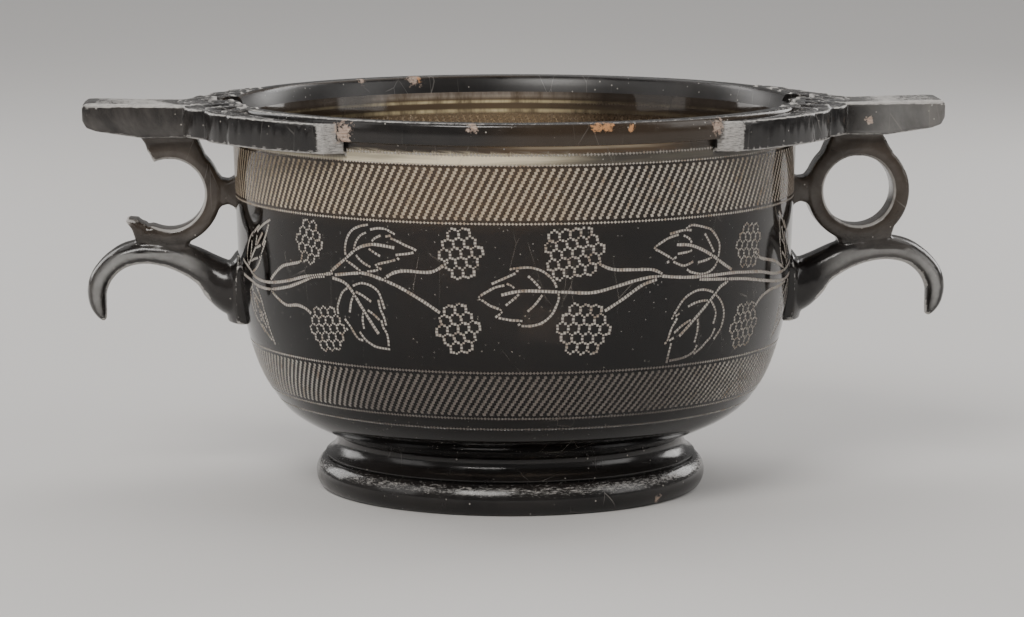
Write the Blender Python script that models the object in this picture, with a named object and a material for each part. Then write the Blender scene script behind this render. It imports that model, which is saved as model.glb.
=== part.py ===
"""Obsidian skyphos: a two-handled drinking cup carved from one block of volcanic glass.

Millimetres in the named sizes, metres in the meshes, +Z up. The cup stands on its foot at
the origin, with its two handles along X. One solid: the turned bowl with its foot and
collar, and on each side a thumb plate with stepped lobes and rim arms, a finger ring on a
short strut, and a hooked spur that springs from a pad on the wall. The ring at -X is broken.
"""
import math

import bmesh
import bpy
from mathutils import Vector

MM = 0.001

# Turned body, radii and heights
TURN_STEPS = 64
MERGE_DISTANCE = 0.00002
SHARP_ANGLE = 34.0
FOOT_BOTTOM_INNER = 44.5
FOOT_ROLL_CENTRE = (48.9, 4.0)
FOOT_ROLL_RADIUS = 5.5
FOOT_ROLL_STEPS = 5
FOOT_NOTCH = (50.9, 8.6)
FOOT_BEAD = ((51.7, 9.1), (51.3, 9.8))
FOOT_NECK = ((49.9, 10.8), (48.9, 12.2), (48.5, 13.9))
FOOT_HOLLOW = ((43.4, 2.9), (39.5, 5.8), (29.0, 7.7), (0.0, 8.6))
FOOT_SHIFT = -1.2
FOOT_SHIFT_FADE = (14.0, 27.0)
WALL_KNOTS = (
    (48.8, 15.0),
    (60.3, 20.5),
    (66.4, 26.0),
    (71.9, 35.7),
    (76.2, 52.4),
    (77.3, 72.0),
    (78.0, 92.0),
    (78.3, 101.6),
)
WALL_THICKNESS = 3.4
COLLAR_BOTTOM = 102.3
COLLAR_RADIUS = 81.3
COLLAR_CHAMFER = (0.3, 0.5)
RIM_TOP = 107.8
RIM_ROUND = 0.7
LIP_INNER_RADIUS = 76.8
LIP_SLOPE = (0.9, 1.2)
SHOULDER_SHIFT = (-0.4, 0.5)
FLOOR_KNOTS = ((62.6, 26.2), (54.0, 20.4), (36.0, 16.9), (0.0, 15.8))

# Root of the thumb plate with its scalloped lobes and rim arms, seen from above, at +X
WING_INNER_RADIUS = 77.2
WING_BOTTOM = 98.4
WING_TOP = 106.3
LOBE_CREASES = ((91.4, 11.6), (85.2, 23.8), (79.0, 38.2))
LOBE_BULGE = 1.5
LOBE_STEPS = 4
ARM_START_RADIUS = 88.0
ARM_START_ANGLE = 26.5
ARM_END_RADIUS = 84.0
ARM_END_ANGLE = 50.0
ARM_STEPS = 7
ARM_TIP = (79.6, 53.2)
WING_INNER_STEPS = 14

# Thumb plate: distance out, half width, underside and top
PLATE_STATIONS = (
    (82.5, 11.2, 98.2, 106.7),
    (91.4, 11.0, 98.2, 106.9),
    (103.0, 10.5, 98.3, 107.4),
    (115.4, 10.1, 100.1, 107.9),
    (118.2, 9.4, 101.0, 107.9),
    (119.4, 8.2, 102.8, 107.2),
)
PLATE_EDGE = 0.6

# Carved ridges over the root of the plate: x and y of both ends, in pairs on either side of X
RIDGES = (
    ((82.6, 2.3), (93.4, 1.9)),
    ((77.6, 7.9), (91.6, 5.2)),
    ((75.6, 16.4), (89.6, 13.4)),
    ((74.0, 24.6), (85.2, 22.6)),
    ((70.6, 32.6), (80.6, 32.8)),
)
RIDGE_BASE = 105.2
RIDGE_TOPS = (108.2, 107.1)
RIDGE_HALF_WIDTHS = (1.7, 1.2)

# Plain panel sunk into the rim between the two middle ridges: x, half width, and its floor
PANEL_OUTLINE = ((74.0, 6.6), (79.0, 6.2), (83.4, 4.6), (84.6, 2.2))
PANEL_FLOOR = 105.9
PANEL_CLEARANCE = 4.0

# Finger ring, its strut and its neck under the plate
RING_CENTRE = (95.8, 82.3)
RING_OUTER = 14.3
RING_INNER = 9.8
RING_HALF_DEPTH = 5.7
RING_EDGE = 1.5
RING_INNER_EDGE = 0.9
RING_STEPS = 36
STRUT_OUTLINE = ((76.0, 87.2), (78.8, 85.6), (83.0, 84.9), (83.0, 78.6), (78.8, 78.0), (76.0, 76.6))
STRUT_HALF_DEPTH = 5.3
NECK_OUTLINE = ((89.4, 98.9), (101.6, 98.9), (105.4, 92.7), (86.2, 92.7))
NECK_HALF_DEPTH = 5.5

PRISM_EDGE = 0.9

# The missing arc of the ring at -X, between its two fractures, measured outward from the cup
BREAK_OUTLINE = (
    (95.8, 82.3),
    (100.7, 91.4),
    (103.4, 97.9),
    (116.0, 97.9),
    (116.0, 78.4),
    (108.3, 76.0),
    (104.5, 75.0),
)
BREAK_HALF_DEPTH = 9.0

# Hooked spur: centre line x and z, half thickness, half depth
HOOK_STATIONS = (
    (75.8, 56.4, 8.2, 8.8),
    (79.2, 57.0, 7.2, 8.2),
    (82.4, 58.3, 5.9, 7.6),
    (85.8, 60.4, 4.9, 7.1),
    (91.3, 63.4, 4.3, 6.7),
    (97.8, 65.4, 3.8, 6.3),
    (104.0, 66.0, 3.5, 6.0),
    (109.0, 65.2, 3.35, 5.8),
    (112.4, 63.5, 3.1, 5.6),
    (115.2, 61.1, 3.0, 5.3),
    (117.2, 58.2, 2.95, 5.0),
    (118.1, 55.0, 2.75, 4.6),
    (117.8, 51.4, 2.4, 4.0),
    (116.9, 48.6, 1.6, 3.0),
    (116.0, 46.8, 0.6, 1.6),
)
HOOK_SIDES = 10
HOOK_ROOT = 76.0
HOOK_REACH = {"right": 1.0, "left": 0.955}

# Root of the spur on the wall: height, half angle, stand-off at its middle and at its edges
PAD_STATIONS = (
    (46.3, 6.7, 4.9, 2.2),
    (51.0, 7.0, 4.9, 2.0),
    (57.5, 7.4, 4.6, 1.6),
    (62.5, 7.6, 2.8, 0.8),
    (65.6, 5.6, 0.6, 0.2),
)
PAD_INNER_RADIUS = 74.0
PAD_STEPS = 8


def catmull_rom(knots, steps):
    """Points of a smooth curve through the knots, with the last knot left out of each span."""
    points = []
    for index in range(len(knots) - 1):
        before = Vector(knots[max(index - 1, 0)])
        start = Vector(knots[index])
        end = Vector(knots[index + 1])
        after = Vector(knots[min(index + 2, len(knots) - 1)])
        for step in range(steps):
            t = step / steps
            points.append(
                0.5
                * (
                    2.0 * start
                    + (end - before) * t
                    + (2.0 * before - 5.0 * start + 4.0 * end - after) * t * t
                    + (3.0 * start - before - 3.0 * end + after) * t * t * t
                )
            )
    points.append(Vector(knots[-1]))
    return [(point.x, point.y) for point in points]


def smoothstep(low, high, value):
    t = min(max((value - low) / (high - low), 0.0), 1.0)
    return t * t * (3.0 - 2.0 * t)


def wall_radius(height):
    """Outer radius of the wall at a height, read off its curve."""
    curve = catmull_rom(WALL_KNOTS, 6)
    for (low_r, low_z), (high_r, high_z) in zip(curve, curve[1:]):
        if low_z <= height <= high_z:
            return low_r + (high_r - low_r) * (height - low_z) / (high_z - low_z)
    return curve[-1][0]


def foot_roll():
    """The rounded edge of the foot, from the table up to the notch."""
    centre_r, centre_z = FOOT_ROLL_CENTRE
    reach = math.asin(centre_z / FOOT_ROLL_RADIUS)
    points = []
    for step in range(FOOT_ROLL_STEPS + 1):
        angle = -reach + 2.0 * reach * step / FOOT_ROLL_STEPS
        radius = centre_r + FOOT_ROLL_RADIUS * math.cos(angle)
        points.append((radius, centre_z + FOOT_ROLL_RADIUS * math.sin(angle)))
    points[0] = (points[0][0], 0.0)
    return points


def turned_outline():
    """Closed half section of the cup, from the middle of its underside round to its floor."""
    underside = [FOOT_HOLLOW[3], FOOT_HOLLOW[2], FOOT_HOLLOW[1], FOOT_HOLLOW[0], (FOOT_BOTTOM_INNER, 0.0)]
    foot = foot_roll() + [FOOT_NOTCH, *FOOT_BEAD, *FOOT_NECK]
    wall = catmull_rom(WALL_KNOTS[:5], 2)[:-1] + list(WALL_KNOTS[4:])
    collar = [
        (COLLAR_RADIUS - COLLAR_CHAMFER[0], COLLAR_BOTTOM),
        (COLLAR_RADIUS, COLLAR_BOTTOM + COLLAR_CHAMFER[1]),
        (COLLAR_RADIUS, RIM_TOP - RIM_ROUND),
        (COLLAR_RADIUS - RIM_ROUND, RIM_TOP),
        (LIP_INNER_RADIUS, RIM_TOP),
        (LIP_INNER_RADIUS - LIP_SLOPE[0], RIM_TOP - LIP_SLOPE[1]),
    ]
    inner = [(radius - WALL_THICKNESS, height) for radius, height in reversed(WALL_KNOTS[3:7])]
    inner[-1] = (inner[-1][0] + SHOULDER_SHIFT[0], inner[-1][1] + SHOULDER_SHIFT[1])
    return underside + foot + wall + collar + inner + list(FLOOR_KNOTS)


def face_outward(solid):
    """Turns every face of a closed shape to point out of it."""
    bmesh.ops.recalc_face_normals(solid, faces=solid.faces)
    if solid.calc_volume(signed=True) < 0.0:
        bmesh.ops.reverse_faces(solid, faces=solid.faces)


def mesh_object(name, build, side=1.0):
    """New object from a mesh that build() fills in for +X; a side of -1 mirrors it to -X."""
    mesh = bpy.data.meshes.new(name)
    solid = bmesh.new()
    build(solid)
    for vert in solid.verts:
        vert.co.x *= side
    face_outward(solid)
    solid.to_mesh(mesh)
    solid.free()
    made = bpy.data.objects.new(name, mesh)
    bpy.context.scene.collection.objects.link(made)
    return made


def build_turned_body(solid):
    outline = turned_outline()
    verts = [solid.verts.new((radius * MM, 0.0, height * MM)) for radius, height in outline]
    edges = [solid.edges.new(pair) for pair in zip(verts, verts[1:])]
    bmesh.ops.spin(
        solid,
        geom=verts + edges,
        cent=(0.0, 0.0, 0.0),
        axis=(0.0, 0.0, 1.0),
        angle=2.0 * math.pi,
        steps=TURN_STEPS,
        use_merge=True,
    )
    bmesh.ops.remove_doubles(solid, verts=solid.verts, dist=MERGE_DISTANCE)
    fade_low, fade_high = FOOT_SHIFT_FADE
    for vert in solid.verts:
        vert.co.x += FOOT_SHIFT * MM * (1.0 - smoothstep(fade_low, fade_high, vert.co.z / MM))


def extrude_outline(solid, outline, offset):
    """A prism: a flat outline of 3-D points in mm, extruded by offset."""
    base = [solid.verts.new(Vector(point) * MM) for point in outline]
    face = solid.faces.new(base)
    grown = bmesh.ops.extrude_face_region(solid, geom=[face], use_keep_orig=True)
    moved = [item for item in grown["geom"] if isinstance(item, bmesh.types.BMVert)]
    bmesh.ops.translate(solid, verts=moved, vec=Vector(offset) * MM)


def scallop(start, end):
    """Points of a shallow lobe that bulges outward between two creases, without its end."""
    chord = Vector(end) - Vector(start)
    outward = Vector((chord.y, -chord.x)).normalized()
    points = []
    for step in range(LOBE_STEPS):
        share = step / LOBE_STEPS
        point = Vector(start) + chord * share + outward * LOBE_BULGE * math.sin(math.pi * share)
        points.append((point.x, point.y))
    return points


def wing_half_outline():
    """Outer edge of the lobes and one arm seen from above, from the plate to the arm's tip."""
    points = []
    for start, end in zip(LOBE_CREASES, LOBE_CREASES[1:]):
        points += scallop(start, end)
    points.append(LOBE_CREASES[-1])
    for step in range(ARM_STEPS + 1):
        share = step / ARM_STEPS
        angle = math.radians(ARM_START_ANGLE + (ARM_END_ANGLE - ARM_START_ANGLE) * share)
        radius = ARM_START_RADIUS + (ARM_END_RADIUS - ARM_START_RADIUS) * share
        points.append((radius * math.cos(angle), radius * math.sin(angle)))
    tip_radius, tip_angle = ARM_TIP
    tip = math.radians(tip_angle)
    points.append((tip_radius * math.cos(tip), tip_radius * math.sin(tip)))
    return points


def wing_outline():
    half = wing_half_outline()
    outline = list(half)
    for step in range(WING_INNER_STEPS + 1):
        angle = math.radians(ARM_TIP[1] * (1.0 - 2.0 * step / WING_INNER_STEPS))
        outline.append((WING_INNER_RADIUS * math.cos(angle), WING_INNER_RADIUS * math.sin(angle)))
    outline += [(x, -y) for x, y in reversed(half)]
    return outline


def build_wing(solid):
    """Lobes and arms as one flat-topped piece that hugs the rim."""
    outline = [(x, y, WING_BOTTOM) for x, y in wing_outline()]
    extrude_outline(solid, outline, (0.0, 0.0, WING_TOP - WING_BOTTOM))


def skin_rows(solid, rows):
    """Closes a shape between rows of vertices, all of one length, with a cap at each end."""
    around = len(rows[0])
    for low, high in zip(rows, rows[1:]):
        for first in range(around):
            second = (first + 1) % around
            solid.faces.new((low[first], low[second], high[second], high[first]))
    solid.faces.new(list(reversed(rows[0])))
    solid.faces.new(rows[-1])


def build_plate(solid):
    """Thumb plate: a tongue with softened edges that thins and rises towards its end."""
    rows = []
    for x, half_width, bottom, top in PLATE_STATIONS:
        corners = (
            (half_width - PLATE_EDGE, bottom),
            (half_width, bottom + PLATE_EDGE),
            (half_width, top - PLATE_EDGE),
            (half_width - PLATE_EDGE, top),
        )
        section = list(corners) + [(-y, z) for y, z in reversed(corners)]
        rows.append([solid.verts.new((x * MM, y * MM, z * MM)) for y, z in section])
    skin_rows(solid, rows)


def build_ridges(solid):
    """Separate ridges, each a triangle in section with its height and half width at both ends."""
    for ends in RIDGES:
        for flip in (1.0, -1.0):
            places = [Vector((x, y * flip, 0.0)) for x, y in ends]
            heading = (places[1] - places[0]).normalized()
            sideways = Vector((-heading.y, heading.x, 0.0))
            rows = []
            for place, top, half_width in zip(places, RIDGE_TOPS, RIDGE_HALF_WIDTHS):
                base = place + Vector((0.0, 0.0, RIDGE_BASE))
                crest = place + Vector((0.0, 0.0, top))
                corners = (base - sideways * half_width, base + sideways * half_width, crest)
                rows.append([solid.verts.new(corner * MM) for corner in corners])
            skin_rows(solid, rows)


def build_panel(solid):
    """Cutter for the sunk panel, open upward and towards the inside of the cup."""
    half = [(x, y, PANEL_FLOOR) for x, y in PANEL_OUTLINE]
    outline = half + [(x, -y, z) for x, y, z in reversed(half)]
    extrude_outline(solid, outline, (0.0, 0.0, PANEL_CLEARANCE))


def build_ring(solid):
    """Finger ring, a flat band with rounded edges, turned about an axis along Y."""
    centre_x, centre_z = RING_CENTRE
    depth = RING_HALF_DEPTH
    section = (
        (RING_INNER, -depth + RING_INNER_EDGE),
        (RING_INNER, depth - RING_INNER_EDGE),
        (RING_INNER + RING_INNER_EDGE, depth),
        (RING_OUTER - RING_EDGE, depth),
        (RING_OUTER, depth - RING_EDGE),
        (RING_OUTER, -depth + RING_EDGE),
        (RING_OUTER - RING_EDGE, -depth),
        (RING_INNER + RING_INNER_EDGE, -depth),
    )
    verts = [solid.verts.new(((centre_x + r) * MM, y * MM, centre_z * MM)) for r, y in section]
    edges = [solid.edges.new((verts[i], verts[(i + 1) % len(verts)])) for i in range(len(verts))]
    bmesh.ops.spin(
        solid,
        geom=verts + edges,
        cent=(centre_x * MM, 0.0, centre_z * MM),
        axis=(0.0, 1.0, 0.0),
        angle=2.0 * math.pi,
        steps=RING_STEPS,
        use_merge=True,
    )
    bmesh.ops.remove_doubles(solid, verts=solid.verts, dist=MERGE_DISTANCE)


def side_prism_builder(outline, half_depth, round_edge):
    """A prism across the handle: an outline in x and z, extruded along Y."""

    def build(solid):
        points = [(x, -half_depth, z) for x, z in outline]
        extrude_outline(solid, points, (0.0, 2.0 * half_depth, 0.0))
        face_outward(solid)
        if round_edge > 0.0:
            limit = half_depth * MM
            rims = [edge for edge in solid.edges if abs(edge.verts[0].co.y - edge.verts[1].co.y) < limit]
            offset = round_edge * MM
            bmesh.ops.bevel(solid, geom=rims, offset=offset, segments=1, profile=0.5, affect="EDGES")

    return build


def hook_builder(reach):
    """Spur: an oval bar swept along its centre line, its length beyond the wall scaled by reach."""

    def build(solid):
        line = [Vector((HOOK_ROOT + (x - HOOK_ROOT) * reach, 0.0, z)) for x, z, *_ in HOOK_STATIONS]
        rows = []
        for index, (*_, thick, depth) in enumerate(HOOK_STATIONS):
            before = line[max(index - 1, 0)]
            after = line[min(index + 1, len(line) - 1)]
            heading = (after - before).normalized()
            normal = Vector((-heading.z, 0.0, heading.x))
            row = []
            for corner in range(HOOK_SIDES):
                angle = 2.0 * math.pi * (corner + 0.5) / HOOK_SIDES
                place = line[index] + normal * thick * math.sin(angle)
                place.y = depth * math.cos(angle)
                row.append(solid.verts.new(place * MM))
            rows.append(row)
        skin_rows(solid, rows)

    return build


def around_cup(radius, degrees, height):
    """A point at a radius from the cup's axis, an angle round from +X, and a height."""
    angle = math.radians(degrees)
    return Vector((radius * math.cos(angle), radius * math.sin(angle), height)) * MM


def build_pad(solid):
    """Root of the spur: a block on the wall, flat below and fading into the wall above."""
    rows = []
    for height, half_angle, middle, edge in PAD_STATIONS:
        row = []
        for step in range(PAD_STEPS + 1):
            share = 2.0 * step / PAD_STEPS - 1.0
            stand_off = edge + (middle - edge) * (1.0 - share * share)
            place = around_cup(wall_radius(height) + stand_off, half_angle * share, height)
            row.append(solid.verts.new(place))
        for share in (1.0, 0.0, -1.0):
            row.append(solid.verts.new(around_cup(PAD_INNER_RADIUS, half_angle * share, height)))
        rows.append(row)
    skin_rows(solid, rows)


def obsidian_material():
    material = bpy.data.materials.new("obsidian")
    material.use_nodes = True
    shader = material.node_tree.nodes["Principled BSDF"]
    shader.inputs["Base Color"].default_value = (0.018, 0.015, 0.014, 1.0)
    shader.inputs["Roughness"].default_value = 0.16
    shader.inputs["Metallic"].default_value = 0.0
    return material


def apply_tool(body, name, build, side, operation):
    """Joins a shape to the body or cuts it out, with a Boolean that stays live."""
    tool = mesh_object(name, build, side)
    tool.hide_render = True
    tool.display_type = "WIRE"
    boolean = body.modifiers.new(name, "BOOLEAN")
    boolean.operation = operation
    boolean.solver = "EXACT"
    boolean.object = tool


def main():
    for item in list(bpy.data.objects):
        bpy.data.objects.remove(item, do_unlink=True)
    body = mesh_object("skyphos", build_turned_body)
    neck = side_prism_builder(NECK_OUTLINE, NECK_HALF_DEPTH, PRISM_EDGE)
    strut = side_prism_builder(STRUT_OUTLINE, STRUT_HALF_DEPTH, PRISM_EDGE)
    ring_break = side_prism_builder(BREAK_OUTLINE, BREAK_HALF_DEPTH, 0.0)
    for side, label in ((1.0, "right"), (-1.0, "left")):
        apply_tool(body, "wing_" + label, build_wing, side, "UNION")
        apply_tool(body, "plate_" + label, build_plate, side, "UNION")
        apply_tool(body, "panel_" + label, build_panel, side, "DIFFERENCE")
        apply_tool(body, "ridges_" + label, build_ridges, side, "UNION")
        apply_tool(body, "pad_" + label, build_pad, side, "UNION")
        apply_tool(body, "hook_" + label, hook_builder(HOOK_REACH[label]), side, "UNION")
        apply_tool(body, "ring_" + label, build_ring, side, "UNION")
        apply_tool(body, "neck_" + label, neck, side, "UNION")
        apply_tool(body, "strut_" + label, strut, side, "UNION")
    apply_tool(body, "ring_break", ring_break, -1.0, "DIFFERENCE")
    body.data.materials.append(obsidian_material())
    body.data.shade_smooth()
    body.data.set_sharp_from_angle(angle=math.radians(SHARP_ANGLE))


main()
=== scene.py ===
"""Looks of the obsidian skyphos: the drilled ornament, the worn edges and the smoky glass."""

import math
import random

import bmesh
import bpy
import numpy as np
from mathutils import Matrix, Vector
from mathutils.geometry import delaunay_2d_cdt
from mathutils.kdtree import KDTree


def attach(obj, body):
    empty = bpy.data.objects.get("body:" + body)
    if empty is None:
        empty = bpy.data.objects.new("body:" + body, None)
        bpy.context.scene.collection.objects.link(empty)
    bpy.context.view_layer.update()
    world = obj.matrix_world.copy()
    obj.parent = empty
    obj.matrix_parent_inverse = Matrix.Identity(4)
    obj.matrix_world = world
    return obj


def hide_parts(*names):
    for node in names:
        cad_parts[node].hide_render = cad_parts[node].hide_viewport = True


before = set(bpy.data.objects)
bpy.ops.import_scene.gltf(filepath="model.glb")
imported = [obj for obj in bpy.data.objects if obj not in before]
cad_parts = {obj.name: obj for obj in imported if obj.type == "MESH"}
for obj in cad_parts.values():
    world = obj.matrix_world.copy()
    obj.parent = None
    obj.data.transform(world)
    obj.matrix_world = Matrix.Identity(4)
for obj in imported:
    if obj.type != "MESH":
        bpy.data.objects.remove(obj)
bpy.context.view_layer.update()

# Turned cup with its drilled ornament
# The real cup was turned and polished from one block. Its ornament is rows of small drilled
# pits with ground, pale insides: dotted lines round the wall, two bands of slanting lines and
# a vine frieze that grows from both handles.
MM = 0.001
TURN = 2.0 * math.pi
hand = random.Random(11)
LOOP_STEPS = 96


def curve_through(knots, steps):
    """Points of a smooth curve through the knots, steps of them to a span."""
    points = []
    for index in range(len(knots) - 1):
        before = Vector(knots[max(index - 1, 0)])
        start = Vector(knots[index])
        end = Vector(knots[index + 1])
        after = Vector(knots[min(index + 2, len(knots) - 1)])
        for step in range(steps):
            t = step / steps
            linear = (end - before) * t
            square = (2.0 * before - 5.0 * start + 4.0 * end - after) * t * t
            cube = (3.0 * start - before - 3.0 * end + after) * t * t * t
            points.append(tuple(0.5 * (2.0 * start + linear + square + cube)))
    points.append(tuple(knots[-1]))
    return points


wall_knots = (
    (48.8, 15.0),
    (60.3, 20.5),
    (66.4, 26.0),
    (71.9, 35.7),
    (76.2, 52.4),
    (77.3, 72.0),
    (78.0, 92.0),
    (78.3, 101.6),
)
wall_curve = np.array(curve_through(wall_knots, 16))
wall_slopes = np.gradient(wall_curve[:, 0], wall_curve[:, 1])


def wall_radius(z):
    return float(np.interp(z, wall_curve[:, 1], wall_curve[:, 0]))


def foot_shift(z):
    """The foot was turned a little off the bowl's axis, towards -X."""
    t = min(max((z - 14.0) / 13.0, 0.0), 1.0)
    return -1.2 * (1.0 - t * t * (3.0 - 2.0 * t))


points = []
angles = []
faces = []
pit_faces = []


def add_point(radius, angle, z):
    points.append((radius * math.cos(angle) + foot_shift(z), radius * math.sin(angle), z))
    angles.append(angle)
    return len(points) - 1


def plain_loop(radius, z):
    return [add_point(radius, TURN * step / LOOP_STEPS, z) for step in range(LOOP_STEPS)]


def join_loops(low, high):
    """Triangles between two closed loops round the cup, whatever their numbers of points."""
    lower = sorted(low, key=lambda index: angles[index] % TURN)
    upper = sorted(high, key=lambda index: angles[index] % TURN)
    low_turns = [angles[index] % TURN for index in lower]
    high_turns = [angles[index] % TURN for index in upper]
    low_turns.append(low_turns[0] + TURN)
    high_turns.append(high_turns[0] + TURN)
    i = 0
    j = 0
    while i < len(lower) or j < len(upper):
        here_low = lower[i % len(lower)]
        here_high = upper[j % len(upper)]
        if j == len(upper) or (i < len(lower) and low_turns[i + 1] <= high_turns[j + 1]):
            faces.append((here_low, lower[(i + 1) % len(lower)], here_high))
            i += 1
        else:
            faces.append((here_low, upper[(j + 1) % len(upper)], here_high))
            j += 1


def sink_pit(corners, angle, z, depth):
    """The inside of one drilled pit: its rim's corners joined to a point in the wall."""
    bottom = add_point(wall_radius(z) - depth, angle, z)
    for index, corner in enumerate(corners):
        pit_faces.append(len(faces))
        faces.append((corner, corners[(index + 1) % len(corners)], bottom))


def dotted_line(z, count, half_height):
    """One line of touching pits round the cup. Returns the loops along its lower and upper edges."""
    radius = wall_radius(z)
    low_loop = []
    high_loop = []
    corners = [add_point(radius, TURN * step / count, z) for step in range(count)]
    for step in range(count):
        angle = TURN * (step + 0.5) / count
        reach = half_height * hand.uniform(0.86, 1.14)
        low = add_point(wall_radius(z - reach), angle, z - reach)
        high = add_point(wall_radius(z + reach), angle, z + reach)
        following = corners[(step + 1) % count]
        sink_pit((corners[step], low, following, high), angle, z, hand.uniform(0.22, 0.32))
        low_loop += [corners[step], low]
        high_loop += [corners[step], high]
    return low_loop, high_loop


def hatched_band(z_low, z_high, lines, dots, lean, half_width):
    """A band of slanting lines of touching pits. Returns the loops along its two edges."""
    rise = z_high - z_low
    length = math.hypot(lean, rise)
    across = (rise / length, -lean / length)
    chains = []
    for line in range(lines):
        start = TURN * line / lines
        rights = []
        lefts = []
        for step in range(2 * dots + 1):
            share = 0.5 * step / dots
            z = z_low + rise * share
            radius = wall_radius(z)
            angle = start + lean * share / radius
            for side, found in ((1.0, rights), (-1.0, lefts)):
                reach = side * half_width * (hand.uniform(0.88, 1.1) if step % 2 else 0.3)
                side_z = z + across[1] * reach
                found.append(add_point(wall_radius(side_z), angle + across[0] * reach / radius, side_z))
        for dot in range(dots):
            share = (dot + 0.5) / dots
            z = z_low + rise * share
            rim = rights[2 * dot : 2 * dot + 3] + lefts[2 * dot : 2 * dot + 3][::-1]
            sink_pit(rim, start + lean * share / wall_radius(z), z, hand.uniform(0.28, 0.46))
        chains.append((rights, lefts))
    for line in range(lines):
        rights, _ = chains[line]
        _, next_lefts = chains[(line + 1) % lines]
        for step in range(2 * dots):
            faces.append((rights[step], next_lefts[step], next_lefts[step + 1], rights[step + 1]))
    low_loop = [side[0] for chain in chains for side in chain]
    high_loop = [side[-1] for chain in chains for side in chain]
    return low_loop, high_loop


def join_rows(rows):
    """Quads between loops that all have the plain number of points."""
    for low, high in zip(rows, rows[1:]):
        for step in range(LOOP_STEPS):
            following = (step + 1) % LOOP_STEPS
            faces.append((low[step], low[following], high[following], high[step]))


# Underside, foot and lower wall, plain up to the first dotted line
foot = [(8.0, 8.55), (18.0, 8.3), (29.0, 7.7), (35.0, 6.8), (39.5, 5.7), (42.0, 4.2), (43.3, 2.7)]
foot += [(43.9, 1.2), (44.5, 0.35), (45.2, 0.0), (52.4, 0.0)]
for step in range(13):
    angle = math.radians(-40.0 + 88.0 * step / 12)
    foot.append((48.9 + 5.5 * math.cos(angle), 4.0 + 5.5 * math.sin(angle)))
foot += [(51.9, 8.5), (51.1, 8.5), (50.9, 8.7), (51.2, 9.0), (51.65, 9.1), (51.75, 9.45), (51.3, 9.8)]
foot += [(50.5, 10.2), (49.9, 10.8), (49.4, 11.4), (48.9, 12.2), (48.6, 13.1), (48.5, 14.0), (48.6, 14.7)]
lower_loops = [plain_loop(radius, z) for radius, z in foot]
for z in (15.1, 15.9, 17.0, 18.4, 20.0, 21.8, 23.6, 24.9):
    lower_loops.append(plain_loop(wall_radius(z), z))
pole = add_point(0.0, 0.0, 8.6)
for step in range(LOOP_STEPS):
    faces.append((pole, lower_loops[0][(step + 1) % LOOP_STEPS], lower_loops[0][step]))
join_rows(lower_loops)

# Dotted lines and hatched bands. Lines B and A bound the frieze between the bands.
LINE_B = 42.2
LINE_A = 82.0
line_d = dotted_line(26.0, 460, 0.36)
line_c = dotted_line(29.2, 480, 0.38)
lower_band = hatched_band(30.1, 41.3, 231, 15, 7.2, 0.56)
line_b = dotted_line(LINE_B, 500, 0.42)
line_a = dotted_line(LINE_A, 500, 0.42)
upper_band = hatched_band(82.9, 96.5, 231, 17, 7.0, 0.62)
line_t2 = dotted_line(97.25, 500, 0.34)
line_t1 = dotted_line(100.0, 500, 0.5)
join_loops(lower_loops[-1], line_d[0])
join_loops(line_d[1], line_c[0])
join_loops(line_c[1], lower_band[0])
join_loops(lower_band[1], line_b[0])
join_loops(line_a[1], upper_band[0])
join_loops(upper_band[1], line_t2[0])
join_loops(line_t2[1], line_t1[0])

# Collar, rim, inside and floor
collar = [(78.3, 101.7), (78.5, 102.1), (79.0, 102.4), (80.7, 102.45), (81.15, 102.65), (81.3, 103.05)]
collar += [(81.3, 105.3), (81.3, 107.4), (81.1, 107.95), (80.6, 108.3), (80.0, 108.4), (78.4, 108.4)]
collar += [(77.1, 108.38), (76.65, 108.1), (76.3, 107.6), (76.0, 107.0), (75.5, 105.2), (75.17, 103.6)]
inside = [(74.9, 102.2), (74.48, 97.3), (74.3, 93.0), (74.1, 85.0), (73.9, 77.0), (73.7, 69.0)]
inside += [(73.3, 61.0), (72.7, 53.0), (71.6, 45.5), (70.0, 39.0), (67.7, 33.2), (64.8, 28.6)]
inside += [(61.0, 24.8), (56.0, 21.5), (50.0, 19.2), (43.0, 17.8), (34.0, 16.8), (24.0, 16.2), (13.0, 15.9)]
upper_loops = [plain_loop(wall_radius(101.2), 101.2)]
upper_loops += [plain_loop(radius, z) for radius, z in collar + inside]
join_loops(line_t1[1], upper_loops[0])
join_rows(upper_loops)
pole = add_point(0.0, 0.0, 15.8)
for step in range(LOOP_STEPS):
    faces.append((upper_loops[-1][step], upper_loops[-1][(step + 1) % LOOP_STEPS], pole))

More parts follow.
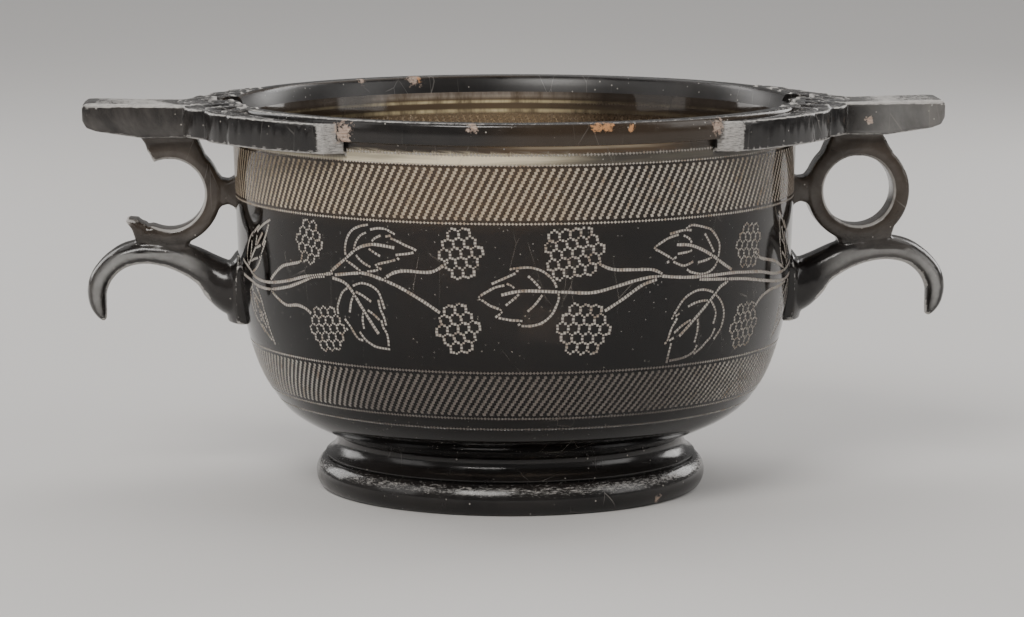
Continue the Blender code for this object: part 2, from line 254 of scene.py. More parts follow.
# Vine frieze
# Two stems leave each handle side by side, part into side shoots, and carry serrated leaves
# and bunches of round berries. It is drawn once, for the front, in millimetres on the unrolled
# wall: along it from the middle of the front, and up. The back is the same, turned half round.
FRIEZE_RADIUS = 77.0
stems = (
    ((-104, 65.5), (-98, 64), (-93.5, 62.3), (-88, 61.6), (-81, 62), (-73, 63.4), (-65, 65.4), (-56, 66.8)),
    ((-104, 61.5), (-96.5, 60.8), (-91.5, 59.9), (-83.5, 59.9), (-75, 61.3), (-69.5, 62.9), (-63.5, 65),
     (-59, 65.7)),
    ((-54.6, 66.6), (-48, 67.5), (-45, 67.6), (-40, 66.4), (-34.5, 64.4), (-28, 61), (-22.5, 57.5)),
    ((-39, 66.8), (-36.5, 68.3), (-33, 69), (-26, 69), (-21.5, 71.6)),
    ((-56.2, 67.5), (-52, 70.6), (-47.5, 74), (-44, 75.3), (-41, 75.5), (-36.5, 75)),
    ((-55.5, 65.6), (-52, 64.8), (-49.5, 62.8), (-46, 58), (-41.8, 52)),
    ((-82.4, 62.8), (-79.5, 65), (-76, 67), (-72, 68), (-68, 69), (-66.2, 71.2)),
    ((-82.4, 59.4), (-79, 57.8), (-75, 56.5), (-70, 57), (-66.5, 56.4), (-64, 55)),
    ((104.5, 64.3), (96.5, 62.9), (86, 63), (76, 64.6), (67.5, 65.4), (61.5, 65.8), (46, 66), (36.3, 67)),
    ((104.5, 60.8), (95.5, 60.2), (86.5, 60.8), (75.5, 62.4), (67.5, 63.6), (60, 64.3), (49.5, 65.1)),
    ((36.5, 67.7), (33.5, 68.9), (27.5, 69.2), (22, 69.6), (18, 71.4)),
    ((35.6, 67), (32, 66.8), (27.5, 66), (23, 64.9), (16.5, 63.6), (8.5, 64), (-1.5, 64.4), (-7, 63.4)),
    ((34.8, 66.1), (30.5, 64.8), (25, 61.4), (20.5, 58.8)),
    ((61.2, 66.9), (58, 68.6), (54, 71), (49.5, 73.2), (45.5, 74.6), (41.5, 75)),
    ((60, 63.6), (57, 62.4), (55, 60.6), (48, 54.6), (43.5, 50.6)),
    ((97, 62.6), (90, 65), (85.5, 66.5), (80, 67.5), (75.5, 68.5), (73, 70.2)),
    ((97, 59.4), (89.5, 59), (83.5, 58.9), (78, 57.9), (75, 56.3), (72.4, 54.2)),
)
side_leaves = (
    # Base, tip, and how wide the leaf is above and below the line between them
    ((-98.0, 65.0), (-82.0, 78.8), 4.4, 4.4),
    ((-96.2, 59.0), (-85.2, 44.7), 3.6, 4.2),
    ((98.0, 64.5), (87.5, 79.6), 4.2, 4.2),
    ((101.5, 59.5), (90.6, 44.6), 4.2, 4.2),
)
leaf_lines = (
    # Upper left leaf: its upper side, its lower side, its veins
    ((-51.1, 71.7), (-51.3, 74.1), (-50.4, 77.0), (-48.7, 79.0), (-46.4, 80.1), (-44.2, 80.6)),
    ((-42.8, 79.5), (-40.8, 79.9), (-38.7, 79.8), (-37.3, 79.2), (-36.1, 78.5), (-38.3, 77.9)),
    ((-37.7, 77.6), (-35.6, 76.9), (-33.3, 75.9), (-30.0, 74.5), (-31.7, 73.7), (-35.8, 73.0), (-35.1, 72.1)),
    ((-35.4, 71.9), (-37.5, 71.3), (-41.7, 70.1), (-40.4, 69.2)),
    ((-40.5, 69.1), (-42.3, 68.5), (-44.8, 68.2), (-46.7, 68.4), (-48.9, 69.6), (-50.8, 70.6)),
    ((-48.4, 74.2), (-47.5, 76.2), (-46.2, 77.7), (-44.8, 78.4)),
    ((-43.0, 75.9), (-42.1, 77.0), (-40.4, 77.9)),
    ((-43.4, 74.1), (-42.0, 73.3), (-40.7, 72.7)),
    ((-48.1, 72.8), (-47.0, 71.5), (-45.3, 70.3), (-43.7, 69.6)),
    # Lower left leaf
    ((-50.5, 63.5), (-52.6, 62.0), (-54.3, 58.4), (-54.4, 56.5), (-53.8, 54.6), (-51.7, 52.2)),
    ((-51.9, 54.7), (-50.3, 52.8), (-49.3, 51.2), (-48.2, 49.9), (-47.1, 49.6)),
    ((-47.3, 51.5), (-45.9, 49.8), (-44.2, 48.7), (-42.4, 48.0), (-38.9, 47.7)),
    ((-49.5, 63.8), (-47.8, 64.6), (-45.9, 65.0), (-43.7, 64.6), (-41.9, 63.7), (-40.7, 62.3), (-39.5, 58.9)),
    ((-41.1, 60.5), (-40.6, 58.3), (-39.7, 56.5), (-39.2, 54.5)),
    ((-40.4, 55.1), (-40.0, 53.5), (-39.1, 52.0), (-38.8, 49.8), (-38.9, 48.0)),
    ((-49.1, 61.2), (-49.8, 59.5), (-50.3, 57.2)),
    ((-47.8, 62.4), (-46.0, 61.7), (-43.7, 60.4)),
    ((-46.1, 56.8), (-46.3, 55.0), (-46.1, 53.1)),
    ((-44.2, 57.7), (-42.8, 56.9), (-41.3, 55.7)),
    # Middle leaf
    ((7.2, 64.7), (6.7, 66.3), (5.4, 68.0), (3.5, 69.5), (1.4, 70.3), (-0.7, 70.6), (-4.8, 70.2),
     (-3.2, 69.7)),
    ((-3.2, 69.3), (-4.8, 68.5), (-6.6, 67.7), (-9.5, 66.4)),
    ((-6.9, 65.8), (-8.7, 65.4), (-10.3, 64.6), (-13.3, 62.6), (-11.9, 61.6), (-10.3, 60.5), (-7.2, 59.1),
     (-8.6, 57.6)),
    ((-7.7, 57.2), (-5.1, 56.7), (-1.8, 56.4), (-2.7, 55.5)),
    ((-1.7, 55.1), (0.4, 55.1), (2.6, 55.6), (4.4, 56.6), (6.0, 58.2), (7.0, 60.2), (7.7, 62.3), (7.5, 64.2)),
    ((-3.8, 64.7), (-4.4, 65.6), (-5.6, 66.2)),
    ((-0.1, 68.1), (1.1, 67.0), (2.6, 65.3)),
    ((3.6, 63.7), (2.3, 61.8), (1.0, 60.3), (-0.2, 59.2)),
    ((-3.0, 63.3), (-4.3, 62.1), (-5.9, 60.8)),
    # Upper right leaf
    ((56.0, 71.0), (56.3, 73.1), (55.8, 75.0), (53.2, 77.9), (50.9, 78.9), (46.3, 79.9), (44.3, 79.3)),
    ((45.5, 78.6), (43.0, 78.7), (39.2, 78.1)),
    ((41.3, 77.6), (38.9, 77.1), (37.0, 76.3), (34.3, 74.6), (36.2, 73.4), (39.4, 71.6)),
    ((40.8, 71.6), (38.5, 70.6)),
    ((39.7, 70.8), (41.4, 70.0), (43.4, 69.3), (45.0, 69.5), (46.4, 70.0)),
    ((45.0, 68.0), (45.8, 67.5), (48.3, 66.8), (50.8, 66.6), (53.0, 67.1), (54.6, 68.1), (55.5, 69.3)),
    ((50.8, 77.0), (52.2, 75.1), (54.0, 72.4)),
    ((43.6, 77.2), (45.3, 76.3), (46.3, 74.7)),
    ((46.2, 73.8), (45.7, 73.0), (41.9, 72.6)),
    ((53.2, 70.6), (51.0, 70.1), (48.8, 69.8)),
    # Lower right leaf
    ((54.9, 61.1), (51.8, 62.1), (48.9, 62.3), (46.5, 61.7), (44.5, 60.7), (42.9, 59.2), (40.7, 56.1)),
    ((40.4, 55.4), (42.4, 56.4)),
    ((42.2, 55.8), (41.5, 54.5), (40.4, 52.7), (39.5, 49.6)),
    ((38.9, 48.8), (41.1, 49.9)),
    ((40.9, 49.2), (40.4, 45.8), (40.2, 43.6)),
    ((55.8, 60.2), (57.5, 58.7), (58.7, 56.7), (59.2, 54.7), (59.0, 52.9), (58.4, 51.0), (56.5, 48.6)),
    ((55.9, 51.0), (54.9, 49.1), (53.3, 47.8), (51.8, 46.4), (49.7, 45.1)),
    ((49.9, 47.0), (49.2, 45.7), (47.4, 44.7), (45.1, 44.1), (41.4, 43.8)),
    ((53.1, 59.2), (50.5, 59.3), (48.0, 59.0), (45.8, 58.3)),
    ((54.0, 58.6), (55.4, 56.7), (55.8, 55.1), (55.3, 53.0)),
    ((48.1, 54.7), (46.2, 54.3), (43.7, 53.1), (41.7, 51.6)),
    ((49.2, 54.1), (49.5, 51.9), (49.3, 50.2), (49.0, 48.5)),
)
bunches = (
    # Centre, width, height, how far apart the berries are
    ((-63.6, 74.6), 10.8, 12.6, 2.5),
    ((-59.5, 51.6), 15.0, 12.4, 2.55),
    ((-17.3, 74.2), 13.8, 13.8, 2.88),
    ((-18.2, 54.2), 13.8, 13.8, 2.88),
    ((12.0, 74.3), 15.6, 15.4, 2.8),
    ((13.8, 54.0), 14.6, 14.4, 2.88),
    ((69.0, 72.6), 12.0, 12.6, 2.5),
    ((68.7, 50.8), 14.8, 12.6, 2.6),
)
strokes = [(curve_through(line, 8), 0.46) for line in stems]
strokes += [(curve_through(line, 8), 0.35) for line in leaf_lines]


def leaf_strokes(base, tip, left, right):
    """A leaf by a handle: on either side a shoulder, two toothed steps to the tip, and two veins."""
    start = Vector(base)
    along = Vector(tip) - start
    out = Vector((-along.y, along.x)).normalized()
    if out.y < 0.0:
        out = -out

    def placed(run, width):
        return [tuple(start + along * share + out * reach * width) for share, reach in run]

    shoulder = ((0.0, 0.0), (-0.01, 0.4), (0.06, 0.74), (0.2, 0.97), (0.34, 1.0), (0.47, 0.9))
    step = ((0.41, 0.8), (0.54, 0.76), (0.7, 0.6))
    point = ((0.61, 0.5), (0.8, 0.32), (1.0, 0.0))
    near_vein = ((0.13, 0.16), (0.22, 0.34), (0.33, 0.62))
    far_vein = ((0.42, 0.12), (0.53, 0.34))
    drawn = []
    for width in (left, -right):
        drawn += [curve_through(placed(run, width), 8) for run in (shoulder, step, point)]
        drawn += [placed(near_vein, width), placed(far_vein, width)]
    return drawn


for leaf in side_leaves:
    strokes += [(line, 0.38) for line in leaf_strokes(*leaf)]
for base, tip, _, _ in side_leaves:
    strokes.append(([base, tuple(Vector(base) * 0.3 + Vector(tip) * 0.7)], 0.42))

# Dots along the strokes, kept apart where strokes meet. Each is filed under the square millimetre
# that it lies in, so that those near it are found quickly.
DOT_SPACING = 0.88
CLOSEST_DOTS = 0.68
LOWEST_DOT = 43.5
HIGHEST_DOT = 80.7
HIGHEST_BERRY_DOT = 80.95
dots = []
taken = {}


def cell_of(spot):
    return int(spot.x // 1.0), int(spot.y // 1.0)


def take(spot):
    taken.setdefault(cell_of(spot), []).append(spot)


def neighbours(spot, reach):
    """Dots within reach of a spot, looked up in its own square millimetre and those round it."""
    column, row = cell_of(spot)
    return [
        other
        for dx in (-1, 0, 1)
        for dy in (-1, 0, 1)
        for other in taken.get((column + dx, row + dy), ())
        if (other - spot).length < reach
    ]


for stroke, half_width in strokes:
    steps = [Vector(point) for point in stroke]
    lengths = [(b - a).length for a, b in zip(steps, steps[1:])]
    total = sum(lengths)
    count = max(2, round(total / DOT_SPACING))
    walked = 0.0
    segment = 0
    for index in range(count + 1):
        goal = min(total * index / count, total - 1e-6)
        while walked + lengths[segment] < goal:
            walked += lengths[segment]
            segment += 1
        heading = (steps[segment + 1] - steps[segment]).normalized()
        spot = steps[segment] + heading * (goal - walked)
        if LOWEST_DOT < spot.y < HIGHEST_DOT and not neighbours(spot, CLOSEST_DOTS):
            take(spot)
            dots.append((spot, heading, half_width))

# Berries share their dots with their neighbours, like the cells of a comb cut by eye
for centre, width, height, pitch in bunches:
    tilt = hand.uniform(-0.16, 0.16)
    berries = {}
    for row in range(-4, 5):
        for column in range(-4, 5):
            x = (column + 0.5 * (row % 2) + 0.25) * pitch
            y = row * pitch * 0.87
            if math.hypot(x / (0.5 * width - 0.8), y / (0.5 * height - 0.8)) < 1.0:
                berries[(row, column)] = (x, y)
    comb = {}
    for (row, column), (x, y) in berries.items():
        lean = row % 2
        around = [(row, column - 1), (row, column + 1)]
        around += [(row + up, column + lean - side) for up in (-1, 1) for side in (0, 1)]
        if sum(place in berries for place in around) < 3:
            continue
        for step in range(12):
            reach = pitch * (0.577 if step % 2 == 0 else 0.5)
            angle = TURN * (step + 3) / 12
            dot = (x + reach * math.cos(angle), y + reach * math.sin(angle))
            comb[(round(dot[0] * 4), round(dot[1] * 4))] = dot
    kept = []
    for x, y in comb.values():
        spot = Vector((x * math.cos(tilt) - y * math.sin(tilt), x * math.sin(tilt) + y * math.cos(tilt)))
        spot += 0.16 * Vector((math.sin(1.3 * spot.y + centre[0]), math.sin(1.7 * spot.x + centre[1])))
        spot += Vector(centre)
        if LOWEST_DOT < spot.y < HIGHEST_BERRY_DOT and all((other - spot).length > 0.6 for other in kept):
            kept.append(spot)
    dots = [dot for dot in dots if all((other - dot[0]).length > 0.7 for other in kept)]
    for spot in kept:
        dots.append((spot, Vector((1.0, 0.0)), 0.42))


def apart(first, second):
    """Whether a line along a side of one of two pits' rims parts them on the unrolled wall."""
    for rim in (first, second):
        for index in (0, 1):
            edge = rim[index + 1] - rim[index]
            normal = Vector((-edge.y, edge.x))
            spans = [[normal.dot(corner) for corner in other] for other in (first, second)]
            if max(spans[0]) < min(spans[1]) or max(spans[1]) < min(spans[0]):
                return True
    return False


# Each pit has a middle and two half axes. Pits that would cross are made smaller until none do.
shapes = []
for spot, heading, half_width in dots:
    along = heading * 0.41 * hand.uniform(0.93, 1.0)
    across = Vector((-heading.y, heading.x)) * half_width * hand.uniform(0.86, 1.04)
    shapes.append([spot, along, across])
order = sorted(range(len(shapes)), key=lambda index: shapes[index][0].x)
NEAR_PITS = 1.25
pairs = []
for position, first in enumerate(order):
    for second in order[position + 1 :]:
        if shapes[second][0].x - shapes[first][0].x > NEAR_PITS:
            break
        if (shapes[second][0] - shapes[first][0]).length < NEAR_PITS:
            pairs.append((first, second))


def rim_of(spot, along, across, grow=1.0):
    """The four corners of a pit's rim."""
    corners = (-along - across, along - across, along + across, across - along)
    return [spot + corner * grow for corner in corners]


for _ in range(40):
    crossing = [
        pair for pair in pairs if not apart(rim_of(*shapes[pair[0]], 1.02), rim_of(*shapes[pair[1]], 1.02))
    ]
    for first, second in crossing:
        for shape in (shapes[first], shapes[second]):
            shape[1] = shape[1] * 0.95
            shape[2] = shape[2] * 0.93
    if not crossing:
        break
taken.clear()
for spot, _, _ in dots:
    take(spot)

# The front half of the frieze laid flat: the dotted lines' edges, a net of plain points and the
# pits. Each point of its outline has a home in the front half and a partner in the back half.
side_rows = np.linspace(LINE_B, LINE_A, 12)[1:-1]
left_column = [add_point(wall_radius(z), math.pi, z) for z in side_rows]
right_column = [add_point(wall_radius(z), 0.0, z) for z in side_rows]


def half_loop(loop, start):
    """The part of a loop round the cup from an angle on, half way round, both ends included."""
    found = [index for index in loop if -1e-6 <= (angles[index] % TURN) - start <= math.pi + 1e-6]
    found.sort(key=lambda index: angles[index])
    if start > 0.0:
        found.append(next(index for index in loop if angles[index] % TURN < 1e-6))
    return found


front_low = half_loop(line_b[1], math.pi)
front_high = half_loop(line_a[0], math.pi)
back_low = half_loop(line_b[1], 0.0)
back_high = half_loop(line_a[0], 0.0)
flat = []
homes = []
partners = []


def flat_point(x, y, home, partner):
    flat.append(Vector((x, y)))
    homes.append(home)
    partners.append(partner)
    return len(flat) - 1


def flat_x(position, count):
    """Along the unrolled half wall, for one of a count of evenly spaced points."""
    return (position / (count - 1) - 0.5) * math.pi * FRIEZE_RADIUS


low_edge = []
high_edge = []
for found, front, back in ((low_edge, front_low, back_low), (high_edge, front_high, back_high)):
    for position, (home, partner) in enumerate(zip(front, back)):
        found.append(flat_point(flat_x(position, len(front)), points[home][2], home, partner))
left_edge = [
    flat_point(-0.5 * math.pi * FRIEZE_RADIUS, points[home][2], home, partner)
    for home, partner in zip(left_column, right_column)
]
right_edge = [
    flat_point(0.5 * math.pi * FRIEZE_RADIUS, points[home][2], home, partner)
    for home, partner in zip(right_column, left_column)
]
edges = list(zip(low_edge, low_edge[1:])) + list(zip(high_edge, high_edge[1:]))
left_line = [low_edge[0]] + left_edge + [high_edge[0]]
right_line = [low_edge[-1]] + right_edge + [high_edge[-1]]
edges += list(zip(left_line, left_line[1:])) + list(zip(right_line, right_line[1:]))
NET_STEP = 4.0
for row, y in enumerate(np.linspace(45.4, 79.0, 9)):
    for x in np.arange(-117.0 + 0.5 * NET_STEP * (row % 2), 118.0, NET_STEP):
        spot = Vector((float(x), float(y)))
        if not neighbours(spot, 1.1):
            flat_point(spot.x, spot.y, None, None)
pit_owner = {}
pits = []
for spot, along, across in shapes:
    rim = [flat_point(corner.x, corner.y, None, None) for corner in rim_of(spot, along, across)]
    edges += [(rim[0], rim[1]), (rim[1], rim[2]), (rim[2], rim[3]), (rim[3], rim[0])]
    for corner in rim:
        pit_owner[corner] = len(pits)
    pits.append((rim, spot, hand.uniform(0.24, 0.38)))
made = delaunay_2d_cdt(flat, edges, [], 0, 1e-6, False)

# The flat half is wrapped on the wall twice, without the triangles beyond its outline or over pits
low_x = np.array([flat[index].x for index in low_edge])
low_y = np.array([flat[index].y for index in low_edge])
high_y = np.array([flat[index].y for index in high_edge])
for half, own, spin in ((0, homes, 1.5 * math.pi), (1, partners, 0.5 * math.pi)):
    indices = []
    for index, place in enumerate(flat):
        if own[index] is None:
            indices.append(add_point(wall_radius(place.y), spin + place.x / FRIEZE_RADIUS, place.y))
        else:
            indices.append(own[index])
    for corners in made[2]:
        owners = {pit_owner.get(corner) for corner in corners}
        if len(owners) == 1 and None not in owners:
            continue
        middle = sum((flat[corner] for corner in corners), Vector((0.0, 0.0))) / len(corners)
        if middle.y < np.interp(middle.x, low_x, low_y) or middle.y > np.interp(middle.x, low_x, high_y):
            continue
        faces.append(tuple(indices[corner] for corner in corners))
    for rim, spot, depth in pits:
        sink_pit([indices[corner] for corner in rim], spin + spot.x / FRIEZE_RADIUS, spot.y, depth)

mesh = bpy.data.meshes.new("turned_cup")
mesh.from_pydata([tuple(c * MM for c in point) for point in points], [], faces)
THIN, GROUND, THICK, COLLAR = range(4)
first_slots = np.zeros(len(faces), np.int32)
first_slots[pit_faces] = GROUND
mesh.polygons.foreach_set("material_index", first_slots)
solid = bmesh.new()
solid.from_mesh(mesh)
bmesh.ops.recalc_face_normals(solid, faces=solid.faces)
solid.to_mesh(mesh)
solid.free()
finish_names = ("obsidian", "drilled_ground", "thick_obsidian", "collar_skin")
materials = [bpy.data.materials.new(name) for name in finish_names]
for material in materials:
    material.use_nodes = True
    mesh.materials.append(material)


def placed_object(name, data):
    made = bpy.data.objects.new(name, data)
    bpy.context.scene.collection.objects.link(made)
    return made


cup = placed_object("skyphos_glass", mesh)

# Handles
# Each handle was carved out of the same block: a thumb plate with stepped lobes and arms that
# hug the rim, ridges over its root, a finger ring on a neck and a strut, and a hooked spur from
# a pad on the wall. The ring at -X lost its outer upper arc, with sharp glassy fractures.


def skin(solid, rows):
    """Closes a shape between rows of points in millimetres, with a cap at each end."""
    rings = [[solid.verts.new(Vector(point) * MM) for point in row] for row in rows]
    around = len(rings[0])
    for low, high in zip(rings, rings[1:]):
        for first in range(around):
            second = (first + 1) % around
            solid.faces.new((low[first], low[second], high[second], high[first]))
    solid.faces.new(list(reversed(rings[0])))
    solid.faces.new(rings[-1])


def rounded_section(half_a, half_b, corner, steps=4):
    """A rectangle with round corners, as offsets along two axes."""
    section = []
    for sign_a, sign_b, start in ((1, 1, 0.0), (-1, 1, 90.0), (-1, -1, 180.0), (1, -1, 270.0)):
        for step in range(steps + 1):
            angle = math.radians(start + 90.0 * step / steps)
            a = sign_a * (half_a - corner) + corner * math.cos(angle)
            b = sign_b * (half_b - corner) + corner * math.sin(angle)
            section.append((a, b))
    return section


RING_CENTRE = (95.8, 82.3)
RING_HOLE = 9.8
RING_OUTER = 14.3
RING_HALF_DEPTH = 5.7
# Inner radius of the broken ring's lower stub, by angle: its inner side is chipped away to a point
stub_chip = ((293.0, RING_HOLE), (299.0, 10.0), (304.0, 11.0), (308.0, 10.6))
stub_chip += ((315.0, 11.2), (322.0, 11.3), (329.0, 13.3))


def carve_ring(solid, whole):
    """The finger ring, or at -X what is left of it between its two fractures."""
    rows = []
    steps = 110
    first_turn, last_turn = (0.0, 360.0) if whole else (65.0, 328.5)
    for step in range(steps + 1):
        turn = first_turn + (last_turn - first_turn) * step / steps
        inner = RING_HOLE if whole else float(np.interp(turn, *zip(*stub_chip)))
        half_band = 0.5 * (RING_OUTER - inner)
        depth = RING_HALF_DEPTH - 0.35 * (inner - RING_HOLE)
        direction = Vector((math.cos(math.radians(turn)), 0.0, math.sin(math.radians(turn))))
        row = []
        for a, b in rounded_section(half_band, depth, min(1.15, 0.9 * half_band)):
            spot = Vector((RING_CENTRE[0], b, RING_CENTRE[1])) + direction * (inner + half_band + a)
            row.append(tuple(spot))
        rows.append(row)
    skin(solid, rows)


def carve_slab(solid, outline, low, high, axis, inset=0.0):
    """A prism from an outline; its two ends are drawn in a little to soften the edge."""
    middle = sum((Vector(point) for point in outline), Vector((0.0, 0.0))) / len(outline)
    rows = []
    levels = ((low, inset), (low + inset, 0.0), (high - inset, 0.0), (high, inset))
    for level, shrink in levels if inset else ((low, 0.0), (high, 0.0)):
        row = []
        for point in outline:
            a, b = Vector(point) + (middle - Vector(point)).normalized() * shrink
            row.append((a, level, b) if axis == "y" else (a, b, level))
        rows.append(row)
    skin(solid, rows)


spur_line = curve_through(
    (
        # Along x and z, half thickness and half depth
        (75.8, 55.8, 9.0, 9.6),
        (79.2, 56.5, 8.0, 9.2),
        (82.4, 57.9, 6.4, 8.3),
        (85.8, 60.4, 4.9, 7.1),
        (91.3, 63.4, 4.3, 6.7),
        (97.8, 65.4, 3.8, 6.3),
        (104.0, 66.0, 3.5, 6.0),
        (109.0, 65.2, 3.35, 5.8),
        (112.4, 63.5, 3.1, 5.6),
        (115.2, 61.1, 3.0, 5.3),
        (117.2, 58.2, 2.95, 5.0),
        (118.1, 55.0, 2.75, 4.6),
        (117.8, 51.4, 2.4, 4.0),
        (116.9, 48.6, 1.6, 3.0),
        (116.0, 46.8, 0.6, 1.6),
    ),
    4,
)


def carve_spur(solid, reach):
    """The hooked spur, a bar with a squarish round section."""
    rows = []
    root = 76.0
    places = [Vector((root + (x - root) * reach, 0.0, z)) for x, z, _, _ in spur_line]
    for index, (_, _, thick, depth) in enumerate(spur_line):
        heading = places[min(index + 1, len(places) - 1)] - places[max(index - 1, 0)]
        normal = Vector((-heading.z, 0.0, heading.x)).normalized()
        row = []
        for step in range(28):
            turn = TURN * step / 28
            up = math.copysign(abs(math.sin(turn)) ** 0.86, math.sin(turn))
            side = math.copysign(abs(math.cos(turn)) ** 0.86, math.cos(turn))
            place = places[index] + normal * thick * up
            place.y = depth * side
            row.append(tuple(place))
        rows.append(row)
    skin(solid, rows)


pad_line = curve_through(
    (
        # Height, half its angle round the wall, and how far its middle and its edges stand out
        (46.3, 6.7, 4.9, 2.2),
        (51.0, 7.0, 4.9, 2.0),
        (57.5, 7.4, 4.6, 1.6),
        (62.5, 7.6, 2.8, 0.8),
        (65.6, 5.6, 0.6, 0.2),
    ),
    4,
)


INSIDE_WALL = 74.0


def carve_pad(solid):
    """The pad on the wall that the spur springs from, reaching into the wall behind it."""
    rows = []
    for height, half_angle, middle, edge in pad_line:
        row = []
        for step in range(17):
            share = 2.0 * step / 16 - 1.0
            radius = wall_radius(height) + edge + (middle - edge) * (1.0 - share * share)
            angle = math.radians(half_angle * share)
            row.append((radius * math.cos(angle), radius * math.sin(angle), height))
        for share in (1.0, 0.0, -1.0):
            angle = math.radians(half_angle * share)
            row.append((INSIDE_WALL * math.cos(angle), INSIDE_WALL * math.sin(angle), height))
        rows.append(row)
    skin(solid, rows)


plate_line = (
    # Along x, half width, underside and top
    (82.5, 10.6, 98.4, 107.3),
    (91.4, 10.3, 98.4, 107.4),
    (103.0, 9.8, 98.3, 107.6),
    (115.4, 9.4, 100.1, 107.9),
    (118.2, 8.7, 101.0, 107.9),
    (119.4, 7.6, 102.8, 107.2),
)


def carve_plate(solid):
    """The thumb plate, thinner and a little raised towards its end."""
    rows = []
    for x, half_width, bottom, top in plate_line:
        row = []
        for a, b in rounded_section(half_width, 0.5 * (top - bottom), 0.8, 3):
            row.append((x, a, 0.5 * (top + bottom) + b))
        rows.append(row)
    skin(solid, rows)


def wing_outline(arm_end):
    """Stepped lobes and arms seen from above: three creases, then an arm to its cut-off end."""
    half = []
    creases = ((91.4, 11.6), (85.2, 23.8), (79.0, 38.2))
    for start, end in zip(creases, creases[1:]):
        chord = Vector(end) - Vector(start)
        out = Vector((chord.y, -chord.x)).normalized()
        for step in range(16):
            share = step / 16
            half.append(tuple(Vector(start) + chord * share + out * 1.5 * math.sin(math.pi * share)))
    half.append(creases[-1])
    for step in range(33):
        angle = math.radians(26.5 + (arm_end - 28.9) * step / 32)
        radius = 88.0 - 4.0 * step / 32
        half.append((radius * math.cos(angle), radius * math.sin(angle)))
    tip = math.radians(arm_end)
    half.append((79.6 * math.cos(tip), 79.6 * math.sin(tip)))
    turns = [tip * (1.0 - step / 28) for step in range(57)]
    inner = [(77.3 * math.cos(angle), 77.3 * math.sin(angle)) for angle in turns]
    return half + inner + [(x, -y) for x, y in reversed(half)]


ridges = (
    # Inner and outer end of each ridge
    ((82.6, 2.3), (93.4, 1.9)),
    ((77.6, 7.9), (91.6, 5.2)),
    ((75.6, 16.4), (89.6, 13.4)),
    ((74.0, 24.6), (85.2, 22.6)),
    ((70.6, 32.6), (80.6, 32.8)),
)


def carve_ridges(solid):
    """Worn ridges over the plate's root, alike on both sides of its middle."""
    for ends in ridges:
        for flip in (1.0, -1.0):
            start, end = (Vector((x, y * flip, 0.0)) for x, y in ends)
            heading = (end - start).normalized()
            sideways = Vector((-heading.y, heading.x, 0.0))
            rows = []
            for step in range(9):
                share = step / 8
                place = start.lerp(end, share) + sideways * flip * 0.5 * math.sin(math.pi * share)
                top = 109.0 - 0.9 * share + hand.uniform(-0.12, 0.12)
                half_width = 1.7 - 0.5 * share
                row = []
                shoulder = top - 0.75
                profile = ((-1.0, 105.6), (1.0, 105.6), (0.72, shoulder), (0.0, top), (-0.72, shoulder))
                for reach, height in profile:
                    row.append(tuple(place + sideways * reach * half_width + Vector((0.0, 0.0, height))))
                rows.append(row)
            skin(solid, rows)


# Outlines along x and z: the strut to the wall, the necks under the plates and the web over the spur
strut = ((76.0, 89.0), (77.6, 86.9), (79.4, 85.9), (81.4, 86.2), (84.6, 90.4), (86.0, 78.0), (83.4, 76.4))
strut += ((81.4, 78.9), (79.6, 79.4), (77.8, 78.6), (76.0, 75.4))
neck = ((88.6, 98.9), (101.9, 98.9), (103.4, 96.6), (105.6, 92.9), (100.0, 92.0))
neck += ((92.0, 92.0), (86.0, 92.9), (87.2, 95.6))
broken_neck = ((88.6, 98.9), (104.2, 98.9), (102.3, 96.3), (101.6, 94.0), (96.4, 92.0))
broken_neck += ((92.0, 92.0), (86.0, 92.9), (87.2, 95.6))
web = ((88.6, 71.6), (90.2, 68.7), (91.6, 66.0), (103.4, 66.0), (105.2, 69.4))
web += ((106.6, 73.4), (102.0, 71.9), (92.0, 71.2))


def worked_mesh(made):
    """The mesh that an object's modifiers make of it. The modifiers are taken off."""
    worked = bpy.data.meshes.new_from_object(made.evaluated_get(bpy.context.evaluated_depsgraph_get()))
    made.modifiers.clear()
    return worked


def read_polish(fine):
    """Places, directions and curvature of the fine skin, kept to shade the thinned one."""
    count = len(fine.vertices)
    coords = np.empty(count * 3)
    normals = np.empty(count * 3)
    ends = np.empty(len(fine.edges) * 2, np.int32)
    fine.vertices.foreach_get("co", coords)
    fine.vertices.foreach_get("normal", normals)
    fine.edges.foreach_get("vertices", ends)
    coords = coords.reshape(-1, 3) / MM
    normals = normals.reshape(-1, 3)
    ends = ends.reshape(-1, 2)
    for _ in range(2):
        mixed = normals.copy()
        for axis in range(3):
            mixed[:, axis] += 0.5 * np.bincount(ends[:, 0], normals[ends[:, 1], axis], count)
            mixed[:, axis] += 0.5 * np.bincount(ends[:, 1], normals[ends[:, 0], axis], count)
        normals = mixed / np.linalg.norm(mixed, axis=1)[:, None]
    steps = coords[ends[:, 1]] - coords[ends[:, 0]]
    rise = np.einsum("ij,ij->i", steps, normals[ends[:, 0]])
    fall = -np.einsum("ij,ij->i", steps, normals[ends[:, 1]])
    squares = np.einsum("ij,ij->i", steps, steps)
    lifted = np.bincount(ends[:, 0], rise, count) + np.bincount(ends[:, 1], fall, count)
    spread = np.bincount(ends[:, 0], squares, count) + np.bincount(ends[:, 1], squares, count)
    curvature = -2.0 * lifted / spread
    valence = np.bincount(ends.ravel(), minlength=count)
    for _ in range(5):
        total = np.bincount(ends[:, 0], curvature[ends[:, 1]], count)
        total += np.bincount(ends[:, 1], curvature[ends[:, 0]], count)
        curvature = 0.4 * curvature + 0.6 * total / valence
    return coords, normals, curvature


polish = []
HANDLE_TRIANGLES = 20000
FINEST_GRID = 0.34


